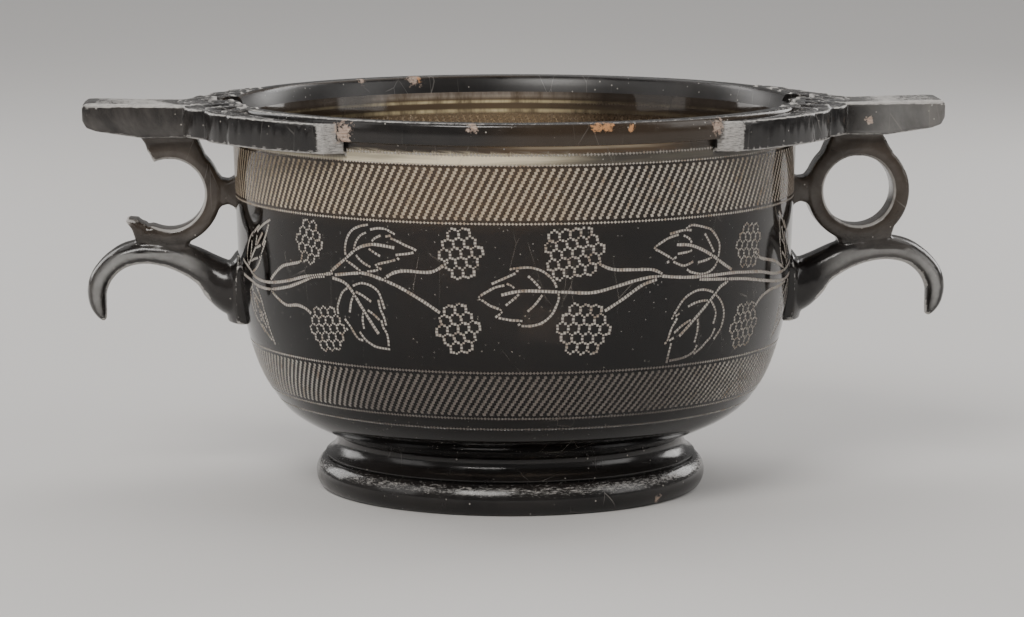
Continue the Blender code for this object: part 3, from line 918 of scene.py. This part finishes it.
def carve_handle(label, side):
    """One handle as a single closed skin: its parts are grown together on a fine grid, then eased."""
    solid = bmesh.new()
    whole = label == "right"
    carve_ring(solid, whole)
    carve_slab(solid, strut, -5.3, 5.3, "y", 0.8)
    carve_slab(solid, neck if whole else broken_neck, -5.5, 5.5, "y", 0.8)
    carve_slab(solid, web, -5.0, 5.0, "y", 0.9)
    carve_spur(solid, 1.0 if whole else 0.955)
    carve_pad(solid)
    carve_plate(solid)
    carve_slab(solid, wing_outline(50.8 if whole else 52.8), 99.1, 107.1, "z")
    carve_ridges(solid)
    bmesh.ops.recalc_face_normals(solid, faces=solid.faces)
    rough = bpy.data.meshes.new("rough_handle")
    solid.to_mesh(rough)
    solid.free()
    made = placed_object("handle_" + label, rough)
    grown = made.modifiers.new("grow", "REMESH")
    grown.mode = "VOXEL"
    grown.voxel_size = FINEST_GRID * MM
    eased = made.modifiers.new("ease", "SMOOTH")
    eased.factor = 0.5
    eased.iterations = 5
    fine = worked_mesh(made)
    for vert in fine.vertices:
        vert.co.x *= side
    if side < 0.0:
        fine.flip_normals()
    polish.append(read_polish(fine))
    made.data = fine
    thinned = made.modifiers.new("thin", "DECIMATE")
    thinned.ratio = HANDLE_TRIANGLES / (2 * len(fine.polygons))
    finished = worked_mesh(made)
    made.data = finished
    for material in materials:
        finished.materials.append(material)
    for face in finished.polygons:
        face.material_index = THICK
    return made


def carve_panel(side):
    """The plain panel sunk into the rim over each handle, between the two middle ridges."""
    solid = bmesh.new()
    half = [(74.0, 6.9), (79.0, 6.2), (83.4, 4.6), (84.6, 2.2)]
    carve_slab(solid, half + [(x, -y) for x, y in reversed(half)], 106.4, 111.0, "z")
    for vert in solid.verts:
        vert.co.x *= side
    bmesh.ops.recalc_face_normals(solid, faces=solid.faces)
    if solid.calc_volume(signed=True) < 0.0:
        bmesh.ops.reverse_faces(solid, faces=solid.faces)
    made_mesh = bpy.data.meshes.new("panel")
    solid.to_mesh(made_mesh)
    solid.free()
    return placed_object("panel", made_mesh)


tools = [(carve_panel(1.0), "DIFFERENCE"), (carve_panel(-1.0), "DIFFERENCE")]
tools += [(carve_handle("right", 1.0), "UNION"), (carve_handle("left", -1.0), "UNION")]
for tool, operation in tools:
    boolean = cup.modifiers.new(tool.name, "BOOLEAN")
    boolean.operation = operation
    boolean.solver = "MANIFOLD"
    boolean.object = tool
whole = worked_mesh(cup)
cup.data = whole
for tool, _ in tools:
    bpy.data.objects.remove(tool, do_unlink=True)
solid = bmesh.new()
solid.from_mesh(whole)
bmesh.ops.triangulate(solid, faces=solid.faces)
solid.to_mesh(whole)
solid.free()

# Polished faces, worn edges and painted light
# The polish is even on the turned wall and softer on the carved handles. Edges that hands and
# shelves touch are rubbed pale: the foot's crest, the rings' and spurs' edges, the arms' ends. Painted
# highlight lines run along the spurs' inner sides and the edge of the ring's hole.
corner_count = len(whole.loops)
face_count = len(whole.polygons)
coords = np.empty(len(whole.vertices) * 3)
whole.vertices.foreach_get("co", coords)
coords = coords.reshape(-1, 3) / MM
corner_verts = np.empty(corner_count, np.int32)
whole.loops.foreach_get("vertex_index", corner_verts)
face_normals = np.empty(face_count * 3)
whole.polygons.foreach_get("normal", face_normals)
face_normals = face_normals.reshape(-1, 3)
centres = coords[corner_verts].reshape(-1, 3, 3).mean(axis=1)
slots = np.empty(face_count, np.int32)
whole.polygons.foreach_get("material_index", slots)
whole.polygons.foreach_set("use_smooth", np.ones(face_count, bool))
solid = bmesh.new()
solid.from_mesh(whole)
for edge in solid.edges:
    pitted = any(face.material_index == GROUND for face in edge.link_faces)
    edge.smooth = not pitted and abs(edge.calc_face_angle(0.0)) < math.radians(38.0)
solid.to_mesh(whole)
solid.free()

corner_faces = np.repeat(np.arange(face_count), 3)
wear_and_highlights = np.zeros(len(coords))
carved = np.zeros(len(coords))
directions = np.zeros((len(coords), 3))
normals = np.zeros((corner_count, 3))

# The handles' wear and directions come from the nearest places on their fine skins
for side, (fine_coords, fine_normals, curvature) in zip((1.0, -1.0), polish):
    finder = KDTree(len(fine_coords))
    for index, place in enumerate(fine_coords):
        finder.insert(place, index)
    finder.balance()
    own = np.unique(corner_verts[(slots[corner_faces] == THICK) & (coords[corner_verts, 0] * side > 0.0)])
    nearest = np.zeros(len(coords), np.int64)
    gaps = np.full(len(coords), 9.0)
    for vert in own:
        _, nearest[vert], gaps[vert] = finder.find(coords[vert])
    wear_and_highlights[own] = np.clip((curvature[nearest[own]] - 0.32) / 0.42, 0.0, 1.0)
    carved[own] = 1.0
    directions[own] = fine_normals[nearest[own]]
    chosen = (slots[corner_faces] == THICK) & (gaps[corner_verts] < 0.25)
    found = fine_normals[nearest[corner_verts]]
    chosen &= np.einsum("ij,ij->i", found, face_normals[corner_faces]) > math.cos(math.radians(50.0))
    normals[chosen] = found[chosen]

# Where each point lies: its distance from the axis, its height, how far out to either side and to
# the front or back, and its angle round from the middle of the front, or of the back behind
across_plan = np.hypot(coords[:, 0], coords[:, 1])
heights = coords[:, 2]
out_x = np.abs(coords[:, 0])
depths = np.abs(coords[:, 1])
right_side = coords[:, 0] > 0.0
around = np.degrees(np.arctan2(coords[:, 1], coords[:, 0])) + 92.9
from_middle = (around + 90.0) % 180.0 - 90.0


def between(values, low, high):
    """0 below low, 1 above high, and a smooth rise between them."""
    share = np.clip((values - low) / (high - low), 0.0, 1.0)
    return share * share * (3.0 - 2.0 * share)


# Lobes and arms are worn along their edges, not on their upright sides
upright = (heights > 100.2) & (heights < 106.2) & (out_x < 91.0) & (across_plan > 79.0)
wear_and_highlights[upright] *= 0.15
arm_top = carved * between(heights, 106.3, 106.9) * (across_plan > 80.0) * (across_plan < 90.0)
wear_and_highlights = np.maximum(wear_and_highlights, 0.42 * arm_top)
arm_end = (across_plan > 76.8) & (across_plan < 84.8) & (heights > 98.8) & (carved > 0.0)
arm_end &= depths > np.where(right_side, 61.6, 63.2)

# Painted highlight: a pale line along the spurs' side that faces the hollow under their curl
inward = np.stack([100.0 - out_x, 40.0 - heights], axis=1)
inward /= np.linalg.norm(inward, axis=1)[:, None]
facing_in = directions[:, 0] * np.sign(coords[:, 0]) * inward[:, 0] + directions[:, 2] * inward[:, 1]
on_spur = carved * (heights < 66.0) * (out_x > 84.0)
wear_and_highlights = np.maximum(wear_and_highlights, 0.95 * on_spur * between(facing_in, 0.72, 0.86))

# Thumbs and shelves rubbed the plates' edges, the foot's crest and the edge of the rim
on_plate = carved * (out_x > 91.0) * (heights > 98.0)
wear_and_highlights = np.maximum(wear_and_highlights, 0.95 * on_plate * between(heights, 106.4, 107.0) * between(depths, 7.6, 8.6))
wear_and_highlights = np.maximum(wear_and_highlights, 0.15 * on_plate * between(heights, 106.6, 107.2))
wear_and_highlights = np.maximum(wear_and_highlights, 0.7 * on_plate * between(-directions[:, 2], 0.3, 0.6) * between(depths, 7.6, 8.6))
crest = np.clip(1.2 * (1.0 - np.abs(heights - 6.9) / 3.0), 0.0, 1.0)
crest *= (across_plan > 50.0) * (across_plan < 60.0)
crest *= 0.52 + 0.07 * between(from_middle, 0.0, 40.0)
wear_and_highlights = np.maximum(wear_and_highlights, crest)
rim_edge = np.clip(1.0 - np.abs(heights - 108.25) / 0.4, 0.0, 1.0) * (across_plan > 79.5) * (carved == 0.0)
wear_and_highlights = np.maximum(wear_and_highlights, rim_edge * (0.6 + 0.4 * between(-from_middle, 0.0, 20.0)))

# Painted light: spurs, rings and plates are painted a paler smoky grey where they are thin enough for light
# to come through, the plate on the right more than the one on the left
smoke_and_through_light = 0.6 * carved * (heights < 67.0) * between(out_x, 82.0, 96.0)
on_ring = carved * (heights >= 67.0) * (heights < 98.0)
smoke_and_through_light = np.maximum(smoke_and_through_light, on_ring * (0.8 - 0.45 * between(out_x, 94.0, 108.0)))
plate_painted_light = np.where(right_side, 1.0, 0.75)
smoke_and_through_light = np.maximum(smoke_and_through_light, plate_painted_light * carved * between(out_x, 88.0, 93.0) * (heights > 97.0))

# A painted highlight where light gathers along the middle of the spurs, where the glass is thickest, and on
# the outer part of the plate on the right
painted_sheen = on_spur * between(np.abs(directions[:, 1]), 0.78, 1.0) * between(out_x, 84.0, 92.0)
painted_sheen = np.maximum(painted_sheen, 0.5 * on_plate * right_side * between(out_x, 92.0, 97.0))

# Painted light where light gathers in the glass above the upper band, more towards the left
painted_light = between(heights, 80.5, 84.0) * (0.3 + 0.7 * between(-from_middle, -25.0, 0.0))
# A painted glow on the strip between the top two dotted lines, stronger towards the left
strip = (heights > 97.2) & (heights < 100.05)
outer_skin = (across_plan > 76.6) & (carved == 0.0)
painted_glow = strip * (0.1 + 0.9 * between(-from_middle, -20.0, 2.0))
# A thin painted golden line of light just under the collar
painted_gold_line = (heights > 101.6) & (heights < 102.2)
painted_glow += 0.5 * painted_gold_line * between(from_middle, -4.0, 6.0) * between(-from_middle, -32.0, -24.0)
painted_glow *= outer_skin
# Painted amber light in the glass of the collar and, fainter, on its face
brightest = between(from_middle, -14.0, 4.0) * between(-from_middle, -40.0, -26.0)
painted_collar_light = (heights > 100.05) * (heights < 102.5) * (0.2 + 0.8 * brightest)
painted_collar_light += 0.22 * (heights > 102.5) * (heights < 108.2) * between(from_middle, -10.0, 4.0)
painted_light = np.where(heights > 97.2, painted_collar_light * outer_skin, painted_light * (carved == 0.0))
# A faint painted warm light on the lower part of the rings
painted_light = np.maximum(painted_light, 0.16 * carved * between(heights, 66.0, 74.0) * (heights < 98.0))
wall = np.interp(heights, wall_curve[:, 1], wall_curve[:, 0])
inner = (across_plan < wall - 2.0) & (heights > 15.5)

# Less light reaches the lower band in the middle of either side
shade = between(-heights, -47.0, -44.0) * between(-np.abs(from_middle), -58.0, -30.0)
sunk = np.clip((wall - across_plan) / 0.26, 0.0, 1.0) * (wall - across_plan < 0.8)

# The finishes below read these amounts, each painted on the skin under its name
painted_values = (
    ("smoke_and_through_light", smoke_and_through_light),
    ("wear_and_highlights", wear_and_highlights),
    ("painted_light", painted_light),
    ("painted_glow", painted_glow),
    ("inner", inner),
    ("painted_sheen", painted_sheen),
    ("shade", shade),
    ("sunk", sunk),
    ("cut_end", 0.85 * arm_end),
)
for name, amounts in painted_values:
    painted = whole.attributes.new(name, "FLOAT", "POINT")
    painted.data.foreach_set("value", amounts.astype(np.float32))

# Exact directions for the turned wall, so that its polish reflects evenly between the pits
shift_heights = np.linspace(14.0, 27.0, 5)
shift = np.interp(heights, shift_heights, [foot_shift(z) for z in shift_heights])
radii = np.hypot(coords[:, 0] - shift, coords[:, 1])
slope = np.interp(heights, wall_curve[:, 1], wall_slopes)
exact = np.stack([(coords[:, 0] - shift) / radii, coords[:, 1] / radii, -slope], axis=1)
exact /= np.linalg.norm(exact, axis=1)[:, None]
on_wall = (np.abs(radii - wall) < 0.03) & (heights > 25.0) & (heights < 101.0)
chosen = on_wall[corner_verts] & (slots[corner_faces] == THIN)
facing = np.einsum("ij,ij->i", exact[corner_verts], face_normals[corner_faces])
chosen &= facing > math.cos(math.radians(20.0))
normals[chosen] = exact[corner_verts][chosen]
whole.normals_split_custom_set(normals.tolist())


# Finishes
# Obsidian is a smoky brown glass. The thin wall lets a little light through; the handles, the
# foot and the collar are thick enough to read as black, with rubbed, pale edges.
def feed(tree, socket, value):
    """Links a socket to another one, or sets it to a plain number, place or colour."""
    if isinstance(value, bpy.types.NodeSocket):
        tree.links.new(value, socket)
    elif socket.type == "RGBA":
        socket.default_value = (*value, 1.0)
    else:
        socket.default_value = value


def add_node(tree, kind, *feeds, **settings):
    """A shader node with its settings by name, and what is fed to its first inputs in their order."""
    node = tree.nodes.new("ShaderNode" + kind)
    column, row = divmod(len(tree.nodes), 8)
    node.location = (240.0 * column, -220.0 * row)
    for name, value in settings.items():
        if name in node.inputs:
            feed(tree, node.inputs[name], value)
        else:
            setattr(node, name, value)
    for socket, value in zip(node.inputs, feeds):
        feed(tree, socket, value)
    return node


def maths(tree, operation, *values):
    return add_node(tree, "Math", *values, operation=operation).outputs[0]


def axis_of(tree, place, axis):
    return add_node(tree, "SeparateXYZ", place).outputs[axis]


def attribute(tree, name):
    return add_node(tree, "Attribute", attribute_name=name).outputs["Fac"]


def stretched(tree, place, scale, rotation=(0.0, 0.0, 0.0)):
    return add_node(tree, "Mapping", place, Scale=scale, Rotation=rotation).outputs[0]


def noise(tree, place, scale, detail, roughness, distortion=0.0):
    settings = {"Scale": scale, "Detail": detail, "Roughness": roughness, "Distortion": distortion}
    return add_node(tree, "TexNoise", place, **settings).outputs["Fac"]


def ranged(tree, value, low, high, to_low=0.0, to_high=1.0):
    return add_node(tree, "MapRange", value, low, high, to_low, to_high).outputs[0]


def ramp(tree, factor, stops):
    """Colours along a factor. Each stop is a position and its colour."""
    node = add_node(tree, "ValToRGB", factor)
    elements = node.color_ramp.elements
    for step, (position, colour) in enumerate(stops):
        stop = elements[step] if step < 2 else elements.new(position)
        stop.position = position
        stop.color = (*colour, 1.0)
    return node.outputs["Color"]


def mixed(tree, factor, first, second, kind="RGBA"):
    """A mix of two colours, or of two numbers where the kind is FLOAT."""
    node = add_node(tree, "Mix", factor, data_type=kind)
    first_input, output = (6, 2) if kind == "RGBA" else (2, 0)
    feed(tree, node.inputs[first_input], first)
    feed(tree, node.inputs[first_input + 1], second)
    return node.outputs[output]


GLASS_IOR = 1.49


def open_finish(material, plain):
    """The tree of a finish, its shader's inputs with plain values set, and the places on the cup."""
    tree = material.node_tree
    shader = tree.nodes["Principled BSDF"].inputs
    for name, value in plain.items():
        shader[name].default_value = value
    return tree, shader, add_node(tree, "TexCoord").outputs["Object"]


def glass_tint(tree, place, dark, light):
    """Smoky clouds in the glass, between two tints."""
    return ramp(tree, noise(tree, place, 44.0, 8.0, 0.68, 0.8), ((0.38, dark), (0.72, light)))


def specks(tree, place, scale, share, size):
    """A mask of small round flecks: a share of the cells of a net, each with a dot in it."""
    cells = add_node(tree, "TexVoronoi", place, Scale=scale)
    red = add_node(tree, "SeparateColor", cells.outputs["Color"]).outputs[0]
    chosen = ranged(tree, red, 1.0 - share, 1.0 - share + 0.02)
    return maths(tree, "MULTIPLY", chosen, ranged(tree, cells.outputs["Distance"], size, size * 0.6))


def hairlines(tree, place):
    """A mask of a few fine scratches, which run on for some millimetres and fade."""
    drawn = stretched(tree, place, (1.0, 1.0, 0.25), (0.5, 0.4, 0.9))
    cells = add_node(tree, "TexVoronoi", drawn, feature="DISTANCE_TO_EDGE", Scale=115.0)
    line = ranged(tree, cells.outputs["Distance"], 0.008, 0.002, 0.0, 0.55)
    return maths(tree, "MULTIPLY", line, ranged(tree, noise(tree, place, 48.0, 2.0, 0.5), 0.55, 0.66))


def deposit(tree, place, spots):
    """A mask of small lumpy deposits, each given by its place and half width in millimetres."""
    nearest = None
    for x, y, z, size in spots:
        reach = add_node(tree, "VectorMath", place, (x * MM, y * MM, z * MM), operation="DISTANCE")
        share = maths(tree, "MULTIPLY", reach.outputs["Value"], 1.0 / (size * MM))
        nearest = share if nearest is None else maths(tree, "MINIMUM", nearest, share)
    lumpy = maths(tree, "MULTIPLY_ADD", noise(tree, place, 900.0, 3.0, 0.7), 3.2, nearest)
    return ranged(tree, lumpy, 2.5, 2.0, 0.0, 0.95)


def dark_sides(tree, place, tint):
    """The inner skin's tint, dark where less light comes in towards either end."""
    across = axis_of(tree, place, 0)
    right = ranged(tree, across, 0.006, 0.030, 0.0, 0.95)
    left = ranged(tree, across, -0.030, -0.042, 0.0, 0.85)
    return mixed(tree, maths(tree, "MAXIMUM", right, left), tint, (0.03, 0.021, 0.015))


def polish_grain(tree, place):
    """The roughness of the turned polish, a little duller in small patches."""
    return ranged(tree, noise(tree, place, 140.0, 5.0, 0.7), 0.35, 0.75, 0.04, 0.14)


# The thin wall: painted shade darkens it towards the foot outside; inside it is painted browner and paler
plain = {"IOR": GLASS_IOR, "Specular IOR Level": 0.15, "Transmission Weight": 0.78}
tree, shader, place = open_finish(materials[THIN], plain)
tint = glass_tint(tree, place, (0.0045, 0.0026, 0.0019), (0.024, 0.0145, 0.010))
# Painted shade towards the foot
painted_low_shade = ranged(tree, axis_of(tree, place, 2), 0.070, 0.050, 0.0, 0.9)
tint = mixed(tree, painted_low_shade, tint, (0.003, 0.0025, 0.003))
# Painted warm light over the upper band
tint = mixed(tree, attribute(tree, "painted_light"), tint, (0.15, 0.10, 0.060))
tint = mixed(tree, specks(tree, place, 900.0, 0.2, 0.2), tint, (0.98, 0.93, 0.85))
tint = mixed(tree, hairlines(tree, place), tint, (0.85, 0.78, 0.70))
# Painted light: the inner skin is a paler, browner copy of the same glass, standing in for the light inside
# the cup, with painted shade towards either end
tint = mixed(tree, attribute(tree, "inner"), tint, dark_sides(tree, place, (0.36, 0.27, 0.17)))
feed(tree, shader["Base Color"], tint)
feed(tree, shader["Roughness"], polish_grain(tree, place))

# The inner skin of the collar: painted light, bright lines where the outer dotted lines shine through
plain = {"IOR": GLASS_IOR, "Specular IOR Level": 0.22, "Transmission Weight": 0.4}
tree, shader, place = open_finish(materials[COLLAR], plain)
painted_shine = (0.95, 0.80, 0.48)
dim = (0.13, 0.09, 0.055)
bands = (
    # Height in millimetres and the tint there
    (97.3, (0.22, 0.16, 0.10)),
    (97.9, painted_shine),
    (98.3, painted_shine),
    (98.8, dim),
    (100.2, dim),
    (100.6, painted_shine),
    (100.9, painted_shine),
    (101.4, (0.17, 0.12, 0.075)),
    (102.4, (0.50, 0.43, 0.35)),
    (103.1, (0.38, 0.32, 0.27)),
)
level = ranged(tree, axis_of(tree, place, 2), 0.094, 0.104)
tint = ramp(tree, level, [((z - 94.0) / 10.0, colour) for z, colour in bands])
uneven = noise(tree, stretched(tree, place, (1.0, 1.0, 0.3)), 210.0, 4.0, 0.7)
tint = mixed(tree, ranged(tree, uneven, 0.42, 0.66, 0.0, 0.8), tint, dim)
feed(tree, shader["Base Color"], dark_sides(tree, place, tint))
feed(tree, shader["Roughness"], polish_grain(tree, place))

# The thick glass: smoky, with painted light and painted highlights on the handles, and painted light gathered
# along the collar
plain = {"IOR": GLASS_IOR, "Transmission Weight": 0.25}
tree, shader, place = open_finish(materials[THICK], plain)
dark = glass_tint(tree, place, (0.009, 0.008, 0.008), (0.030, 0.026, 0.024))
light = glass_tint(tree, place, (0.022, 0.020, 0.019), (0.175, 0.160, 0.148))
tint = mixed(tree, attribute(tree, "smoke_and_through_light"), dark, light)
drift = noise(tree, place, 70.0, 6.0, 0.7)
soft_painted_sheen = maths(tree, "MULTIPLY", attribute(tree, "painted_sheen"), ranged(tree, drift, 0.3, 0.66, 0.45, 1.0))
tint = mixed(tree, soft_painted_sheen, tint, (0.36, 0.357, 0.348))
# Painted warm light on the collar and the rings
tint = mixed(tree, attribute(tree, "painted_light"), tint, (0.17, 0.105, 0.05))
# The painted glow and golden line, broken into streaks
streak = noise(tree, stretched(tree, place, (1.0, 1.0, 16.0)), 26.0, 4.0, 0.6, 0.3)
painted_glow_streaks = maths(tree, "MULTIPLY", attribute(tree, "painted_glow"), ranged(tree, streak, 0.36, 0.56, 0.45, 1.0))
tint = mixed(tree, painted_glow_streaks, tint, (1.0, 0.88, 0.64))

# The upright sides of plates and arms keep their polish between the worn edges
level = axis_of(tree, place, 2)
near_top = ranged(tree, level, 106.0 * MM, 106.5 * MM, 0.12, 1.0)
near_underside = ranged(tree, level, 100.4 * MM, 99.9 * MM, 0.12, 1.0)
off_side = maths(tree, "MAXIMUM", near_top, near_underside)
edge_wear_and_highlights = maths(tree, "MULTIPLY", off_side, attribute(tree, "wear_and_highlights"))
all_wear_and_highlights = maths(tree, "MAXIMUM", edge_wear_and_highlights, attribute(tree, "cut_end"))
grit = noise(tree, stretched(tree, place, (0.7, 0.7, 3.6)), 820.0, 5.0, 0.8)
rubbed_and_highlit = ranged(tree, maths(tree, "MULTIPLY_ADD", all_wear_and_highlights, 0.5, grit), 0.74, 0.98, 0.0, 0.9)

# A thin painted highlight line along the edge of the ring's hole
folded = add_node(tree, "VectorMath", place, operation="ABSOLUTE").outputs[0]
hole_centre = (RING_CENTRE[0] * MM, 0.0, RING_CENTRE[1] * MM)
from_hole = add_node(tree, "VectorMath", folded, hole_centre, operation="SUBTRACT").outputs[0]
flattened = add_node(tree, "VectorMath", from_hole, (1.0, 0.0, 1.0), operation="MULTIPLY").outputs[0]
away = add_node(tree, "VectorMath", flattened, operation="LENGTH").outputs["Value"]
near_hole = ranged(tree, away, (RING_HOLE + 0.75) * MM, (RING_HOLE + 0.45) * MM, 0.0, 0.8)
at_edge = ranged(tree, axis_of(tree, folded, 1), 4.6 * MM, 4.9 * MM)
ring_highlight = maths(tree, "MULTIPLY", near_hole, at_edge)
ring_highlight = maths(tree, "MULTIPLY", ring_highlight, ranged(tree, drift, 0.4, 0.56, 0.25, 1.0))
rub_and_highlight_mask = maths(tree, "MAXIMUM", rubbed_and_highlit, ring_highlight)
tint = mixed(tree, specks(tree, place, 620.0, 0.16, 0.16), tint, (0.50, 0.47, 0.43))
tint = mixed(tree, hairlines(tree, place), tint, (0.34, 0.32, 0.30))
tint = mixed(tree, rub_and_highlight_mask, tint, (0.66, 0.635, 0.605))

# Small crusts of clay and rust, each by its place and half width in millimetres
pale_spots = (
    (-26.1, 71.8, 108.0, 2.6),
    (-41.5, 63.9, 108.2, 1.4),
    (-15.0, -79.9, 107.4, 1.7),
    (-48.0, -65.0, 105.0, 3.2),
    (-47.6, -65.9, 103.0, 1.8),
    (97.9, -9.9, 102.4, 1.3),
    (50.2, -63.6, 106.0, 2.4),
    (36.9, -37.9, 1.6, 1.5),
)
orange_spots = (
    (17.4, -79.2, 107.4, 1.6),
    (20.3, -78.7, 107.5, 1.8),
    (26.6, -76.8, 106.8, 1.2),
    (-24.6, 72.3, 107.2, 1.1),
)
pale = deposit(tree, place, pale_spots)
orange = deposit(tree, place, orange_spots)
clay = ramp(tree, grit, ((0.36, (0.78, 0.66, 0.56)), (0.6, (0.42, 0.27, 0.20))))
tint = mixed(tree, orange, mixed(tree, pale, tint, clay), (0.72, 0.36, 0.16))
feed(tree, shader["Base Color"], tint)
haze = ranged(tree, noise(tree, place, 160.0, 6.0, 0.75), 0.35, 0.7, 0.10, 0.30)
dulled = mixed(tree, attribute(tree, "inner"), haze, 0.34, "FLOAT")
matt = mixed(tree, rub_and_highlight_mask, dulled, 0.6, "FLOAT")
crusted = mixed(tree, maths(tree, "MAXIMUM", pale, orange), matt, 0.9, "FLOAT")
feed(tree, shader["Roughness"], crusted)

# Ground insides of the pits: pale and matt, a little stained with earth
plain = {"IOR": GLASS_IOR, "Transmission Weight": 0.5, "Roughness": 0.8}
tree, shader, place = open_finish(materials[GROUND], plain)
earth = ((0.28, (0.50, 0.34, 0.21)), (0.48, (0.96, 0.91, 0.84)))
tint = ramp(tree, noise(tree, place, 260.0, 3.0, 0.6), earth)
# Painted shade on the pits' sides, leaving their middles bright so the dots look round
shaded_pit_sides = ranged(tree, attribute(tree, "sunk"), 0.05, 0.42, 1.0, 0.0)
tint = mixed(tree, shaded_pit_sides, tint, (0.40, 0.35, 0.31))
# Painted warm light on the pits of the upper band, more towards the left
tint = mixed(tree, maths(tree, "MULTIPLY", attribute(tree, "painted_light"), 0.55), tint, (0.90, 0.72, 0.49))
tint = mixed(tree, attribute(tree, "shade"), tint, (0.30, 0.26, 0.235))
rust = deposit(tree, place, ((-48.9, -59.6, 68.4, 1.7),))
feed(tree, shader["Base Color"], mixed(tree, rust, tint, (0.42, 0.20, 0.11)))

# The collar above the wall and the foot below it are thick glass too
centre_plan = np.hypot(centres[:, 0], centres[:, 1])
centre_height = centres[:, 2]
massive = (centre_height > 103.5) | ((centre_height > 97.5) & (centre_plan > 76.6))
massive |= (centre_height < 14.9) & (centre_plan > 44.0)
slots[(slots == THIN) & massive] = THICK
slots[(slots == THIN) & (centre_height > 97.3)] = COLLAR
whole.polygons.foreach_set("material_index", slots)
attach(cup, "root")
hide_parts("skyphos")

# Studio: a plain pale floor, soft lights and the camera
floor_mesh = bpy.data.meshes.new("studio_floor")
floor_corners = [(6.0 * x, 6.0 * y, 0.0) for x, y in ((-1, -1), (1, -1), (1, 1), (-1, 1))]
floor_mesh.from_pydata(floor_corners, [], [(0, 1, 2, 3)])
floor = placed_object("studio_floor", floor_mesh)
paper = bpy.data.materials.new("pale_paper")
paper.use_nodes = True
paper.node_tree.nodes["Principled BSDF"].inputs["Base Color"].default_value = (0.62, 0.61, 0.60, 1.0)
paper.node_tree.nodes["Principled BSDF"].inputs["Roughness"].default_value = 0.9
floor_mesh.materials.append(paper)

world = bpy.data.worlds.new("studio")
world.use_nodes = True
world.node_tree.nodes["Background"].inputs["Color"].default_value = (0.62, 0.61, 0.60, 1.0)
world.node_tree.nodes["Background"].inputs["Strength"].default_value = 0.35
bpy.context.scene.world = world


def soft_light(name, spot, aim, size, power, colour):
    """A rectangular soft light at a spot, facing what it is aimed at."""
    lamp = bpy.data.lights.new(name, "AREA")
    lamp.shape = "RECTANGLE"
    lamp.size, lamp.size_y = size
    lamp.energy = power
    lamp.color = colour
    made = placed_object(name, lamp)
    made.location = spot
    made.rotation_euler = (Vector(aim) - Vector(spot)).to_track_quat("-Z", "Y").to_euler()


soft_light("overhead", (0.0, 1.7, 2.4), (0.0, 1.6, 0.0), (3.6, 3.6), 46.0, (1.0, 0.985, 0.97))
soft_light("key", (-0.4, -1.0, 0.95), (0.0, 0.0, 0.05), (0.6, 0.5), 12.5, (1.0, 0.97, 0.93))
soft_light("right_strip", (1.0, -0.35, 0.55), (0.0, 0.0, 0.06), (0.55, 0.8), 3.3, (1.0, 0.98, 0.96))
soft_light("left_strip", (-1.0, -0.3, 0.55), (0.0, 0.0, 0.06), (0.55, 0.8), 1.8, (1.0, 0.98, 0.96))
soft_light("right_rim", (0.85, 0.75, 0.55), (0.0, 0.0, 0.06), (0.5, 0.8), 5.8, (1.0, 0.98, 0.96))
soft_light("left_rim", (-0.85, 0.75, 0.55), (0.0, 0.0, 0.06), (0.5, 0.8), 4.6, (1.0, 0.98, 0.96))

# The camera stands 1.13 m away, raised 7.9 degrees and turned 2.9 degrees to the left
camera_data = bpy.data.cameras.new("camera")
camera_data.lens = 141.5
camera_data.sensor_width = 36.0
camera_data.shift_x = -2.5 / 1024
camera_data.clip_end = 50.0
camera = placed_object("camera", camera_data)
turned = math.radians(-2.9)
raised = math.radians(7.91)
target = Vector((0.0, 0.0, 0.0491))
level_share = math.cos(raised)
heading = Vector((math.sin(turned) * level_share, -math.cos(turned) * level_share, math.sin(raised)))
camera.location = target + heading * 1.1267
camera.rotation_euler = (-heading).to_track_quat("-Z", "Y").to_euler()
bpy.context.scene.camera = camera
